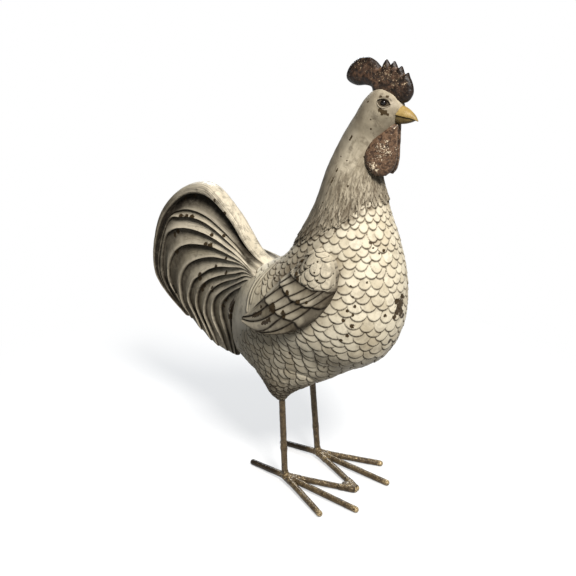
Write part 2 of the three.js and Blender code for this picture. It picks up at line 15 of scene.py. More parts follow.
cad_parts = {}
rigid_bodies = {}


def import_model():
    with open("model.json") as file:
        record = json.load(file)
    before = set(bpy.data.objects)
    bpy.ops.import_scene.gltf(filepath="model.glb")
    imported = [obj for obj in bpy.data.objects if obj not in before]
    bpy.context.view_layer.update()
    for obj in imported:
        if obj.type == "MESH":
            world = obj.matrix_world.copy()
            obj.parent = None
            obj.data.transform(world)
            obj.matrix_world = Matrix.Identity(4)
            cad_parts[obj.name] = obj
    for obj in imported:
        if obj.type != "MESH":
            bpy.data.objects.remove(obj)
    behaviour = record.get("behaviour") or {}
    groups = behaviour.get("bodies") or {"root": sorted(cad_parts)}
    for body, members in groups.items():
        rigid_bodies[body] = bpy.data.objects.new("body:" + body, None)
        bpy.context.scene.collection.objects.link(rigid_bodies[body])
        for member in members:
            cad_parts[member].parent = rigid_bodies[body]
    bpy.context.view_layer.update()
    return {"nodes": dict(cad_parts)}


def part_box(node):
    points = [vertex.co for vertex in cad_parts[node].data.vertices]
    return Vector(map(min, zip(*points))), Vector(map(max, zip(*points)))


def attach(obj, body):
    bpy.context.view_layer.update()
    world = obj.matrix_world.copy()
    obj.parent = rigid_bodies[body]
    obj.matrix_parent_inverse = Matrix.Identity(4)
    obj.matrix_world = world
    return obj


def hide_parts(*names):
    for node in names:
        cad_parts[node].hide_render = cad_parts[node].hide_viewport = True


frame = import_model()

# %% [markdown]
# The carver's tables say where the castings run: a row of ovals from the crown down to the vent,
# and rings for the thighs. They are in millimetres, with heights counted from the thigh tips,
# where the iron rods leave the casting. A smooth curve through the rows gives every place between
# them. The beak's tip in the frame says how far the tables are shifted from the frame's middle.

# %% The carver's tables
LEG = 108.0
BEAK_TIP = 142.4
BODY_OVALS = np.array([
    [95, 384, 109, 382, 4], [87, 378, 119, 375, 13], [79, 369, 125, 365, 18],
    [69, 353, 119, 349, 20], [59, 338, 108.5, 332, 20], [47, 316.5, 101, 311, 23],
    [36.5, 292.5, 99, 289, 29], [24, 254, 110, 252, 39.5], [5.5, 216.5, 124, 214, 52],
    [-15, 188, 133, 175, 62], [-38, 173, 132.5, 127, 69.5], [-62, 160, 114, 85, 69.5],
    [-76, 148, 75, 59, 64.5], [-87, 132, 39, 39.5, 57], [-97, 112, 10, 28, 48],
    [-104, 88, -18, 25, 38], [-105, 64, -48, 27, 27], [-98, 46, -74, 35, 10],
])
VENT = len(BODY_OVALS) - 1
frame_shift = np.array([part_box("beak_upper")[1][0] * 1000 - BEAK_TIP, 0, LEG])
print("tables shifted by", frame_shift.round(2), "mm")

# %% Smooth tables
def curve_through(p, q, r, s, t):
    """A smooth curve from q to r, with p before them and s after them."""
    return q + 0.5 * t * ((r - p) + t * ((2 * p - 5 * q + 4 * r - s) + t * (3 * (q - r) + s - p)))


def along(table, place):
    """The row of a table at any place between its rows, on a smooth curve."""
    table = np.asarray(table, float)
    last = len(table) - 1
    place = np.clip(np.asarray(place, float), 0, last)
    i = np.minimum(place.astype(int), last - 1)
    t = (place - i).reshape(place.shape + (1,) * (table.ndim - 1))
    rows = (table[np.clip(i + step, 0, last)] for step in (-1, 0, 1, 2))
    return curve_through(*rows, t)


def ease(low, high, value):
    """A smooth rise from 0 at low to 1 at high."""
    t = np.clip((value - low) / (high - low), 0, 1)
    return t * t * (3 - 2 * t)


def mix(a, b, share):
    """A value between a and b, where share 0 gives a."""
    return a + (b - a) * share

# %% The skin of the body
def skin(turn, station, grow=0.0):
    """A point of the body's skin: turn 0 is the breast, a quarter turn the bird's right."""
    row = along(BODY_OVALS, station)
    back, front, half = row[..., 0:2], row[..., 2:4], row[..., 4]
    span = np.linalg.norm(front - back, axis=-1)
    reach = (span / 2 + grow) * np.cos(turn)
    flat = (back + front) / 2 + (front - back) / span[..., None] * reach[..., None]
    return np.stack([flat[..., 0], -(half + grow) * np.sin(turn), flat[..., 1]], -1)


def station_of(x, z):
    """The station whose oval passes through a place in the side view."""
    low = np.zeros(np.shape(x))
    high = np.full(np.shape(x), float(VENT))
    for _ in range(18):
        middle = (low + high) / 2
        row = along(BODY_OVALS, middle)
        side = ((row[..., 2] - row[..., 0]) * (z - row[..., 1])
                - (row[..., 3] - row[..., 1]) * (x - row[..., 0]))
        low, high = np.where(side < 0, middle, low), np.where(side < 0, high, middle)
    return low


def oval_reach(x, z):
    """The oval through a place in the side view, its span and how far out the place is."""
    row = along(BODY_OVALS, station_of(x, z))
    span = np.hypot(row[..., 2] - row[..., 0], row[..., 3] - row[..., 1])
    off = np.hypot(x - (row[..., 0] + row[..., 2]) / 2, z - (row[..., 1] + row[..., 3]) / 2)
    return row, span, 2 * off / span


def flank(x, z):
    """Half width of the body at a place in the side view."""
    row, span, reach = oval_reach(x, z)
    return row[..., 4] * np.sqrt(1 - np.clip(reach, 0, 1) ** 2)

# %% [markdown]
# The finish is what makes this bird look old. The castings were painted cream, then a dark wash
# was wiped over them, so it stays in the cuts and hollows, and later the paint chipped. Several
# materials need the same effects, so each effect is one node group with named inputs: the wash,
# the chips, the fine lines of hair, and the grain of the casting. Masks such as the cut lines and
# the hollows come with each mesh as named marks, because they follow the carving. The hollow mark
# also carries painted shade, and the ridge mark carries painted highlights, both laid on each mesh.

# %% Helpers for finishes
def paint(red, green, blue):
    """A colour as read from a screen, turned into the shader's own scale."""
    return tuple((v / 255 / 12.92) if v / 255 <= 0.04045 else ((v / 255 + 0.055) / 1.055) ** 2.4
                 for v in (red, green, blue)) + (1.0,)


def place_node(tree, kind, values=None, **settings):
    """A node with its settings, and with numbers or other nodes' outputs as its inputs."""
    made = tree.nodes.new(kind)
    for key, value in settings.items():
        setattr(made, key, value)
    for key, value in (values or {}).items():
        if isinstance(value, bpy.types.NodeSocket):
            tree.links.new(value, made.inputs[key])
        else:
            made.inputs[key].default_value = value
    return made


def calc(tree, operation, *values, clamp=False):
    """One sum on numbers or outputs."""
    return place_node(tree, "ShaderNodeMath", dict(enumerate(values)), operation=operation,
                      use_clamp=clamp).outputs[0]


def times(tree, first, second, clamp=False):
    return calc(tree, "MULTIPLY", first, second, clamp=clamp)


def plus(tree, first, second):
    return calc(tree, "ADD", first, second)


def blend_colour(tree, share, first, second):
    """A mix of two colours, where share 0 gives the first."""
    return place_node(tree, "ShaderNodeMix", {0: share, 6: first, 7: second}, data_type="RGBA",
                      clamp_factor=True).outputs[2]


def speckle(tree, place, size, detail=3.0, rough=0.55, warp=0.0):
    """Even noise whose blots are about size millimetres wide."""
    values = {"Vector": place, "Scale": 1000.0 / size, "Detail": detail, "Roughness": rough,
              "Distortion": warp}
    return place_node(tree, "ShaderNodeTexNoise", values).outputs["Fac"]


def step_up(tree, value, low, high):
    """A smooth mask: nothing below low, full above high."""
    return place_node(tree, "ShaderNodeMapRange", {"Value": value, "From Min": low, "From Max": high},
                      clamp=True, interpolation_type="SMOOTHSTEP").outputs["Result"]


def new_group(name, inputs, outputs):
    """An empty node group with named inputs and outputs."""
    tree = bpy.data.node_groups.new(name, "ShaderNodeTree")
    for label, kind, value in inputs:
        socket = tree.interface.new_socket(label, in_out="INPUT", socket_type=kind)
        if value is not None:
            socket.default_value = value
    for label, kind in outputs:
        tree.interface.new_socket(label, in_out="OUTPUT", socket_type=kind)
    return tree, tree.nodes.new("NodeGroupInput"), tree.nodes.new("NodeGroupOutput")


NUMBER, COLOUR, PLACE = "NodeSocketFloat", "NodeSocketColor", "NodeSocketVector"

# %% Group: old wash over paint
SOOT = (0.008, 0.005, 0.002, 1)
CLOUD_SIZE, PATCH_SIZE = 38, 9
WASH_COVER, LINE_COVER = 0.82, 0.92
wash_tree, given, result = new_group(
    "old_wash_and_shade",
    [("Place", PLACE, None), ("Paint", COLOUR, (1, 1, 1, 1)), ("Dull Paint", COLOUR, (1, 1, 1, 1)),
     ("Wash", COLOUR, (0, 0, 0, 1)), ("Line", NUMBER, 0.0), ("Hollow", NUMBER, 0.0),
     ("Tone", NUMBER, 0.5), ("Grime", NUMBER, 0.5)],
    [("Colour", COLOUR), ("Stain And Shade", NUMBER)])
given = given.outputs
clouds = speckle(wash_tree, given["Place"], CLOUD_SIZE, 4, 0.6)
patches = speckle(wash_tree, given["Place"], PATCH_SIZE, 5, 0.65, 0.4)
dull = plus(wash_tree, times(wash_tree, clouds, 0.9), times(wash_tree, given["Tone"], 0.28))
dull = step_up(wash_tree, dull, 0.38, 0.85)
body_colour = blend_colour(wash_tree, dull, given["Paint"], given["Dull Paint"])
uneven = plus(wash_tree, 0.5, times(wash_tree, patches, 0.9))
# The hollow input carries the wash in the hollows and the painted shade laid on each mesh; the line input
# carries dark lines and, in places, a painted shadow.
settled_and_shade = times(wash_tree, given["Hollow"], uneven)
wiped = times(wash_tree, step_up(wash_tree, patches, 0.44, 0.68), given["Grime"])
stain_and_shade = calc(wash_tree, "MAXIMUM", settled_and_shade, wiped, clamp=True)
washed_and_shaded = blend_colour(wash_tree, times(wash_tree, stain_and_shade, WASH_COVER), body_colour, given["Wash"])
uneven = plus(wash_tree, 0.25, times(wash_tree, patches, 1.5))
thin = times(wash_tree, given["Line"], uneven, clamp=True)
dark_line = blend_colour(wash_tree, 0.55, given["Wash"], SOOT)
lined = blend_colour(wash_tree, times(wash_tree, thin, LINE_COVER), washed_and_shaded, dark_line)
wash_tree.links.new(lined, result.inputs["Colour"])
wash_tree.links.new(calc(wash_tree, "MAXIMUM", stain_and_shade, thin), result.inputs["Stain And Shade"])
print("old_wash_and_shade has", len(wash_tree.nodes), "nodes")

# %% Group: chipped paint
RAGGED_SIZE, CLUSTER_SIZE = 3.2, 22
CHIP_EDGE, RIM_EDGE = (0.66, 0.70), (0.55, 0.66)
chip_tree, given, result = new_group(
    "chipped_paint",
    [("Place", PLACE, None), ("Spot", NUMBER, 0.0), ("Ridge", NUMBER, 0.0), ("Amount", NUMBER, 0.5)],
    [("Chip", NUMBER), ("Rim", NUMBER)])
given = given.outputs
ragged = speckle(chip_tree, given["Place"], RAGGED_SIZE, 4, 0.62, 0.6)
clusters = speckle(chip_tree, given["Place"], CLUSTER_SIZE, 2, 0.5)
loose = plus(chip_tree, clusters, times(chip_tree, given["Ridge"], 0.16))
total = plus(chip_tree, given["Spot"], times(chip_tree, loose, given["Amount"]))
total = plus(chip_tree, total, times(chip_tree, calc(chip_tree, "SUBTRACT", ragged, 0.5), 1.3))
chip_tree.links.new(step_up(chip_tree, total, *CHIP_EDGE), result.inputs["Chip"])
chip_tree.links.new(step_up(chip_tree, total, *RIM_EDGE), result.inputs["Rim"])
print("chipped_paint has", len(chip_tree.nodes), "nodes")

# %% Group: hair lines
hair_tree, given, result = new_group(
    "hair_lines", [("Lay", PLACE, None), ("Width", NUMBER, 1.6), ("Length", NUMBER, 16.0)],
    [("Hair", NUMBER)])
given = given.outputs
squeeze = {"X": calc(hair_tree, "DIVIDE", 1.0, given["Width"]),
           "Y": calc(hair_tree, "DIVIDE", 1.0, given["Length"]), "Z": 1.0}
stretch = place_node(hair_tree, "ShaderNodeCombineXYZ", squeeze).outputs[0]
combed = place_node(hair_tree, "ShaderNodeVectorMath", {0: given["Lay"], 1: stretch},
                    operation="MULTIPLY").outputs[0]
strands = place_node(hair_tree, "ShaderNodeTexNoise",
                     {"Vector": combed, "Scale": 1.0, "Detail": 3.0, "Roughness": 0.6}).outputs["Fac"]
hair_tree.links.new(strands, result.inputs["Hair"])
print("hair_lines has", len(hair_tree.nodes), "nodes")

# %% Group: casting grain
SAND_SIZE, LUMP_SIZE = 0.9, 5.0
grain_tree, given, result = new_group(
    "casting_grain", [("Place", PLACE, None), ("Coarse", NUMBER, 0.5)], [("Grain", NUMBER)])
given = given.outputs
sand = speckle(grain_tree, given["Place"], SAND_SIZE, 3, 0.6)
lumps = speckle(grain_tree, given["Place"], LUMP_SIZE, 3, 0.55)
grain = plus(grain_tree, times(grain_tree, lumps, given["Coarse"]), times(grain_tree, sand, 0.35))
grain_tree.links.new(grain, result.inputs["Grain"])
print("groups:", [group.name for group in bpy.data.node_groups])

# %% [markdown]
# The cream castings share one recipe with different values: the breast is bright and clean, the
# neck and the tail hold more wash and have lines of hair or barbs, and the wing is between them.

# %% Helpers for materials
BUMP_HEIGHT = 0.0005
finishes = {}


def use_group(tree, name, values):
    """One of the groups, placed in a material with its own values."""
    return place_node(tree, "ShaderNodeGroup", values, node_tree=bpy.data.node_groups[name])


def mark_of(tree, name, output="Fac"):
    """A mark that the mesh carries."""
    return place_node(tree, "ShaderNodeAttribute", attribute_name=name).outputs[output]


def new_finish(name, roughness, metallic=0.0, specular=0.3):
    """A material with its Principled shader, and the place of every point."""
    material = bpy.data.materials.new(name)
    material.use_nodes = True
    tree = material.node_tree
    shader = tree.nodes["Principled BSDF"]
    shader.inputs["Roughness"].default_value = roughness
    shader.inputs["Metallic"].default_value = metallic
    shader.inputs["Specular IOR Level"].default_value = specular
    finishes[name] = material
    return tree, shader, tree.nodes.new("ShaderNodeTexCoord").outputs["Object"]


def uneven_skin(tree, shader, height, strength):
    """Fine relief on the shader's normal."""
    values = {"Height": height, "Strength": strength, "Distance": BUMP_HEIGHT}
    bump = place_node(tree, "ShaderNodeBump", values)
    tree.links.new(bump.outputs["Normal"], shader.inputs["Normal"])

# %% The cream castings' finishes
BARE_CASTING = paint(60, 46, 24)
TUFT_WIDTH, TUFT_LENGTH = 4.5, 26.0


def cream_finish(name, light, dull, wash, grime, chips, rub, hair=0.0, hair_size=(1.6, 16.0), furry=""):
    """Cream paint with the old wash and painted shade, worn ridges with painted highlights, chips and combed
    lines.
    """
    tree, shader, place = new_finish(name, 0.6, specular=0.25)
    line, hollow, tone = mark_of(tree, "line"), mark_of(tree, "hollow"), mark_of(tree, "tone")
    ridge, spot, lay = mark_of(tree, "ridge"), mark_of(tree, "spot"), mark_of(tree, "lay", "Vector")
    strands = use_group(tree, "hair_lines", {"Lay": lay, "Width": hair_size[0], "Length": hair_size[1]})
    combed = times(tree, step_up(tree, strands.outputs["Hair"], 0.50, 0.66), hair)
    if furry:
        tufts = use_group(tree, "hair_lines", {"Lay": lay, "Width": TUFT_WIDTH, "Length": TUFT_LENGTH})
        clumps = times(tree, step_up(tree, tufts.outputs["Hair"], 0.46, 0.58), 0.95)
        combed = times(tree, calc(tree, "MAXIMUM", combed, clumps), mark_of(tree, furry))
    low = calc(tree, "MAXIMUM", hollow, combed)
    washed_and_shaded = use_group(tree, "old_wash_and_shade", {"Place": place, "Paint": light, "Dull Paint": dull, "Wash": wash,
                                          "Line": line, "Hollow": low, "Tone": tone, "Grime": grime})
    chipped = use_group(tree, "chipped_paint",
                        {"Place": place, "Spot": spot, "Ridge": ridge, "Amount": chips})
    # The ridge mark is worn paint, and on the tail and the wings it is also a painted highlight.
    worn_and_lit = times(tree, times(tree, ridge, rub), calc(tree, "SUBTRACT", 1.0, line))
    rubbed = blend_colour(tree, worn_and_lit, washed_and_shaded.outputs["Colour"], light)
    edged = blend_colour(tree, times(tree, chipped.outputs["Rim"], 0.4), rubbed, wash)
    final = blend_colour(tree, chipped.outputs["Chip"], edged, BARE_CASTING)
    tree.links.new(final, shader.inputs["Base Color"])
    rough = plus(tree, 0.44, times(tree, washed_and_shaded.outputs["Stain And Shade"], 0.42))
    tree.links.new(rough, shader.inputs["Roughness"])
    grain = use_group(tree, "casting_grain", {"Place": place, "Coarse": 0.9}).outputs["Grain"]
    height = calc(tree, "SUBTRACT", plus(tree, grain, times(tree, combed, 2.4)),
                  times(tree, chipped.outputs["Chip"], 1.4))
    uneven_skin(tree, shader, height, 0.6)
    print(name, "has", len(tree.nodes), "nodes")


cream_finish("breast_cream", paint(225, 216, 193), paint(194, 182, 156), paint(78, 61, 40),
             grime=0.34, chips=0.30, rub=0.35)
cream_finish("hackle_cream", paint(200, 189, 166), paint(148, 137, 116), paint(66, 52, 35),
             grime=0.68, chips=0.30, rub=0.35, hair=1.0, hair_size=(1.3, 11.0), furry="furry")
cream_finish("wing_cream", paint(218, 207, 183), paint(160, 148, 124), paint(44, 33, 20),
             grime=0.5, chips=0.36, rub=0.55, hair=0.3, hair_size=(1.1, 12.0))
cream_finish("tail_cream", paint(220, 209, 186), paint(152, 142, 120), paint(40, 31, 19),
             grime=0.7, chips=0.40, rub=0.62, hair=0.55, hair_size=(1.0, 22.0))

# %% [markdown]
# The comb and the wattles are a dark red-brown that is rubbed to tan on the high spots, the beak
# is ochre with a dark tip, the eye is a glossy black bead, and the iron is brown with worn, shiny
# places. The hollow mark also brings painted shade to these, and on the iron the worn places
# include a painted highlight on the tops of the toes. They use the same groups of grain and chips.

# %% The other finishes
def rubbed_finish(name, base, dark, rubbed, rubbing, roughness, metallic=0.0, blot=4.0):
    """A dark paint or skin of rust with speckles, rubbed through on its high spots, darker in hollows and
    painted shade.
    """
    tree, shader, place = new_finish(name, roughness, metallic)
    hollow, ridge = mark_of(tree, "hollow"), mark_of(tree, "ridge")
    line, spot = mark_of(tree, "line"), mark_of(tree, "spot")
    blots = speckle(tree, place, blot, 5, 0.65, 0.3)
    fine = speckle(tree, place, 1.5, 4, 0.65)
    mottled = blend_colour(tree, step_up(tree, blots, 0.36, 0.64), dark, base)
    # Darker in the hollows, on the lines, and in the painted shade and shadow laid on the mesh.
    low = calc(tree, "MAXIMUM", times(tree, hollow, 0.8), line)
    sunk_and_shaded = blend_colour(tree, low, mottled, tuple(0.3 * v for v in dark[:3]) + (1.0,))
    # High spots are ridges and marked spots; on the iron, the spots include a painted highlight.
    high = plus(tree, times(tree, ridge, 0.45), times(tree, spot, 0.6))
    worn_and_lit = plus(tree, times(tree, high, rubbing), times(tree, calc(tree, "SUBTRACT", fine, 0.5), 2.8))
    worn_and_lit = step_up(tree, worn_and_lit, 0.42, 0.85)
    tree.links.new(blend_colour(tree, worn_and_lit, sunk_and_shaded, rubbed), shader.inputs["Base Color"])
    smoother = calc(tree, "SUBTRACT", roughness + 0.05, times(tree, worn_and_lit, 0.12))
    tree.links.new(smoother, shader.inputs["Roughness"])
    grain = use_group(tree, "casting_grain", {"Place": place, "Coarse": 1.2}).outputs["Grain"]
    uneven_skin(tree, shader, plus(tree, grain, times(tree, blots, 1.6)), 0.8)
    print(name, "has", len(tree.nodes), "nodes")


rubbed_finish("comb_brown", paint(94, 71, 55), paint(34, 24, 17), paint(204, 182, 150),
              rubbing=1.25, roughness=0.36, blot=3.4)
rubbed_finish("wattle_brown", paint(116, 90, 69), paint(50, 35, 25), paint(234, 217, 188),
              rubbing=1.35, roughness=0.38, blot=3.2)
rubbed_finish("beak_ochre", paint(172, 148, 93), paint(148, 122, 68), paint(190, 170, 120),
              rubbing=0.4, roughness=0.4, blot=9.0)
rubbed_finish("iron_bronze", paint(122, 104, 76), paint(80, 66, 49), paint(188, 166, 126),
              rubbing=0.95, roughness=0.34, metallic=0.25, blot=5.0)
rubbed_finish("sleeve_steel", paint(150, 150, 146), paint(120, 120, 118), paint(190, 190, 188),
              rubbing=0.3, roughness=0.4, metallic=1.0)
tree, shader, place = new_finish("eye_black", 0.08)
depth = step_up(tree, speckle(tree, place, 1.5), 0.4, 0.7)
depth = blend_colour(tree, depth, paint(9, 7, 6), paint(26, 18, 12))
tree.links.new(depth, shader.inputs["Base Color"])
print("finishes:", list(finishes))

# %% [markdown]
# A casting here is a skin of points and faces. These helpers turn such a skin into a piece of the
# scene, in metres and in the frame's place, and hide the solids of the frame that it stands for.
# They also find where the carving is hollow and where it is a ridge: a skin is smoothed by a few
# passes, and what stands above the smooth skin is a ridge.

# %% Faces of a skin
def ring_faces(rows, columns):
    """Four-sided faces of a stack of rings."""
    a = np.arange(rows - 1)[:, None] * columns + np.arange(columns)
    b = np.arange(rows - 1)[:, None] * columns + (np.arange(columns) + 1) % columns
    return np.stack([a, b, b + columns, a + columns], -1).reshape(-1, 4)


def sheet_faces(rows, columns):
    """Four-sided faces of an open sheet of rows and columns."""
    a = (np.arange(rows - 1)[:, None] * columns + np.arange(columns - 1)).ravel()
    return np.stack([a, a + 1, a + 1 + columns, a + columns], -1)


def outward(points, faces):
    """The faces, turned so that they point out of the solid."""
    corners = points[np.array([face[:3] for face in faces])]
    volume = np.einsum("ij,ij->", corners[:, 0], np.cross(corners[:, 1], corners[:, 2]))
    return faces if volume > 0 else [face[::-1] for face in faces]

# %% From a skin to a piece
def make_piece(name, points, faces, finish, slot, replaced, marks=None):
    """A mesh object from a skin in millimetres, riding on the frame."""
    points = np.asarray(points, float)
    if isinstance(faces, np.ndarray):
        faces = faces.tolist()
    faces = outward(points, [tuple(face) for face in faces])
    mesh = bpy.data.meshes.new(name)
    mesh.from_pydata(((points + frame_shift) / 1000).tolist(), [], faces)
    mesh.shade_smooth()
    for mark, values in (marks or {}).items():
        values = np.asarray(values, np.float32)
        short = len(points) - len(values)
        values = np.concatenate([values, np.repeat(values[-1:], short, 0)]) if short else values
        kind, field = ("FLOAT", "value") if values.ndim == 1 else ("FLOAT_VECTOR", "vector")
        mesh.attributes.new(mark, kind, "POINT").data.foreach_set(field, values.ravel())
    piece = bpy.data.objects.new(name, mesh)
    bpy.context.scene.collection.objects.link(piece)
    mesh.materials.append(finishes[finish])
    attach(piece, "root")
    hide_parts(*replaced)
    print(f"{name}: {len(mesh.polygons)} faces")
    return piece

# %% Ridges and hollows
def point_normals(points, faces):
    """Smooth normals of a skin."""
    across = np.cross(points[faces[:, 2]] - points[faces[:, 0]], points[faces[:, -1]] - points[faces[:, 1]])
    total = np.zeros_like(points)
    for corner in range(faces.shape[1]):
        for axis in range(3):
            total[:, axis] += np.bincount(faces[:, corner], across[:, axis], len(points))
    return total / np.maximum(np.linalg.norm(total, axis=1), 1e-9)[:, None]


def relaxed(points, faces, weight, passes):
    """The skin after a thumb has run over it, as hard as the weight says."""
    size = faces.shape[1]
    edges = np.concatenate([faces[:, [i, (i + 1) % size]] for i in range(size)])
    ends = np.concatenate([edges, edges[:, ::-1]])
    number = np.maximum(np.bincount(ends[:, 0], minlength=len(points)), 1)[:, None]
    for _ in range(passes):
        around = np.stack([np.bincount(ends[:, 0], points[ends[:, 1], axis], len(points))
                           for axis in range(3)], -1) / number
        points = points + (around - points) * weight[:, None]
    return points


def ridges_and_hollows(points, faces, fine=8, broad=40, height=0.35, depth=0.9):
    """How far every point stands above or below the skin smoothed finely and broadly."""
    size = np.full(len(points), 0.6)
    up = point_normals(points, faces)
    corners = points[faces[:, :3]]
    if np.einsum("ij,ij->", corners[:, 0] - points.mean(0), np.cross(corners[:, 1], corners[:, 2])) < 0:
        up = -up
    smooth = relaxed(points, faces, size, fine)
    rise = np.einsum("ij,ij->i", points - smooth, up)
    smoother = relaxed(smooth, faces, size, broad)
    low = np.einsum("ij,ij->i", points - smoother, up)
    return {"ridge": np.clip(rise / height, 0, 1), "hollow": np.clip(-low / depth, 0, 1) ** 1.3}

# %% [markdown]
# The feathers are carved like overlapping roof shingles: each one rises from its root to a
# rounded or pointed tip and ends in a small step down to the next. So each feather is laid on the
# skin with its root, its direction and its size, and at every point of the skin the highest
# feather wins. The dark line round a tip is noted too, because the old wash has settled there.

# %% A bed of feathers
dice = np.random.default_rng(7)


def bed_of(root, flow, up, length, half, lift, blunt=0.55, point=2.0):
    """A bed of feathers from lists of roots and directions."""
    up = up / np.linalg.norm(up, axis=1)[:, None]
    flow = flow - up * np.einsum("ij,ij->i", flow, up)[:, None]
    flow = flow / np.linalg.norm(flow, axis=1)[:, None]

    def full(value):
        return np.broadcast_to(np.asarray(value, float), len(root)).copy()

    return {"root": root, "flow": flow, "up": up, "side": np.cross(up, flow), "length": full(length),
            "half": full(half), "lift": full(lift), "blunt": full(blunt), "point": full(point)}


def join_beds(*beds):
    """Several beds as one."""
    return {key: np.concatenate([bed[key] for bed in beds]) for key in beds[0]}

# %% Laying feathers like shingles
BATCH = 20000
INK_WIDTH, BED_DEPTH = 0.68, 14


def swell(gap, width, power=2):
    """A soft mound that is 1 where the gap is 0 and fades out over the width."""
    return np.exp(-(gap / width) ** power)


def lay_batch(points, bed, near, soft):
    """The highest feather at each point, out of the few whose middles are nearest."""
    middle = bed["root"] + bed["flow"] * (0.62 * bed["length"])[:, None]
    distance = (middle ** 2).sum(1) - 2 * points @ middle.T
    chosen = np.argpartition(distance, near - 1, axis=1)[:, :near]
    offset = points[:, None] - bed["root"][chosen]
    length, half = bed["length"][chosen], bed["half"][chosen]
    v = np.einsum("ijk,ijk->ij", offset, bed["flow"][chosen]) / length
    u = np.einsum("ijk,ijk->ij", offset, bed["side"][chosen]) / half
    off_skin = np.abs(np.einsum("ijk,ijk->ij", offset, bed["up"][chosen]))
    width = np.abs(u) ** bed["point"][chosen]
    round_tip = 1 - np.sqrt(np.clip(1 - width, 0, 1))
    tip = 1 - bed["blunt"][chosen] * np.where(bed["point"][chosen] > 1.7, round_tip, width)
    from_tip = (tip - v) * length * 0.85
    inside = np.minimum(from_tip, (1 - np.abs(u)) * half * 1.2)
    lift = bed["lift"][chosen]
    hidden = (v < 0) | (off_skin > BED_DEPTH)
    raised = lift * (np.clip(v, 0, 1) + 0.18 * (1 - np.clip(u * u, 0, 1)))
    height = np.where((inside > 0) & ~hidden, raised * ease(0, soft, inside), -1.0)
    top = height.argmax(1)
    rows = np.arange(len(points))
    best = np.maximum(height[rows, top], 0)
    ink = np.minimum(1.25 * swell(from_tip, INK_WIDTH) + 0.35 * swell(inside, 0.6), 1)
    ink = ink * (inside > -1.6) * ease(-0.3, 0.1, raised - best[:, None])
    line = np.where(~hidden & (v > 0.15), ink, 0).max(1)
    return best, line, np.where(best > 0, chosen[rows, top], -1)


def lay_feathers(points, bed, near=9, soft=0.9):
    """Height, dark line and feather number for every point over a bed of feathers."""
    near = min(near, len(bed["root"]) - 1)
    parts = [lay_batch(points[start:start + BATCH], bed, near, soft)
             for start in range(0, len(points), BATCH)]
    return [np.concatenate(part) for part in zip(*parts)]

# %% [markdown]
# The body is one smooth form with two thighs that grow out of it. Two skins are joined by a voxel
# remesh, which also gives small even faces all over for the carving. Where body and thigh meet,
# the skin is pushed out to a soft blend of the two and smoothed, as a modeller fills a crease.

# %% Body and thigh forms
FRINGE_MIDDLE, FRINGE_TILT = 7.47, 0.85
UNDER_NECK, NECK_INSET = 1.2, 3.2
THIGH_SPACING, THIGH_BACK, THIGH_REACH = 31.8, 6.9, 19.0
THIGH_RINGS = np.array([
    [5.5, 0.5, 5.4], [7, 1.5, 7.5], [10.5, 2.9, 10.8], [17.5, 3, 17], [25, 1.5, 23],
    [33, -0.7, 30], [42, -3.7, 37], [54, -6.2, 42], [68, -7, 40], [82, -7, 33], [93, -7, 24],
])


def fringe(turn):
    """The station where the neck feathers end over the body."""
    return FRINGE_MIDDLE - FRINGE_TILT * np.cos(turn)


def thigh_row(height):
    """Shift to the rear, radius and half width of a thigh at a height."""
    place = np.interp(height, THIGH_RINGS[:, 0], np.arange(len(THIGH_RINGS)))
    row = along(THIGH_RINGS, place)
    return row[..., 1], row[..., 2], THIGH_REACH * np.tanh(row[..., 2] / THIGH_REACH)


def thigh_ring(side, height, turn):
    """A point of a thigh's skin."""
    shift, radius, reach = thigh_row(height)
    return np.stack([-THIGH_BACK - shift + radius * np.cos(turn),
                     side * THIGH_SPACING + reach * np.sin(turn), height + 0 * turn], -1)


def off_thigh(points, side):
    """Rough distance from a thigh's skin, less than nothing inside."""
    shift, radius, reach = thigh_row(np.clip(points[:, 2], THIGH_RINGS[0, 0], THIGH_RINGS[-1, 0]))
    lengthwise = (points[:, 0] + THIGH_BACK + shift) / radius
    sideways = (points[:, 1] - side * THIGH_SPACING) / reach
    return (np.hypot(lengthwise, sideways) - 1) * reach


def off_body(points):
    """Rough distance from the body's skin, less than nothing inside."""
    row, span, reach = oval_reach(points[:, 0], points[:, 2])
    return (np.hypot(reach, points[:, 1] / row[:, 4]) - 1) * np.minimum(span / 2, row[:, 4])

# %% Joining body and thighs
def circle(count):
    """Angles at even steps round a full turn."""
    return np.arange(count) / count * 2 * np.pi


def listed(grid):
    """A grid of points as one list of points."""
    return grid.reshape(-1, 3)


def closed_rings(rings):
    """Points and faces of a stack of rings, closed at both ends."""
    rows, columns = rings.shape[:2]
    points = np.concatenate([listed(rings), [rings[0].mean(0)], [rings[-1].mean(0)]])
    faces = [tuple(face) for face in ring_faces(rows, columns).tolist()]
    first, last = rows * columns, rows * columns + 1
    for i in range(columns):
        j = (i + 1) % columns
        faces.append((first, j, i))
        faces.append((last, (rows - 1) * columns + i, (rows - 1) * columns + j))
    return points, faces


def remeshed(skins, voxel):
    """One even skin of four-sided faces round all the given skins."""
    points = np.concatenate([skin_points for skin_points, _ in skins])
    faces, first = [], 0
    for skin_points, skin_faces in skins:
        faces += [tuple(i + first for i in face) for face in outward(skin_points, skin_faces)]
        first += len(skin_points)
    mesh = bpy.data.meshes.new("rough")
    mesh.from_pydata(points.tolist(), [], faces)
    rough = bpy.data.objects.new("rough", mesh)
    bpy.context.scene.collection.objects.link(rough)
    remesh = rough.modifiers.new("even", "REMESH")
    remesh.mode = "VOXEL"
    remesh.voxel_size = voxel
    even = rough.evaluated_get(bpy.context.evaluated_depsgraph_get()).to_mesh()
    out = np.empty(len(even.vertices) * 3, np.float32)
    even.vertices.foreach_get("co", out)
    loops = np.empty(len(even.loops), np.int32)
    even.loops.foreach_get("vertex_index", loops)
    bpy.data.objects.remove(rough)
    bpy.data.meshes.remove(mesh)
    return out.reshape(-1, 3).astype(float), loops.reshape(-1, 4)


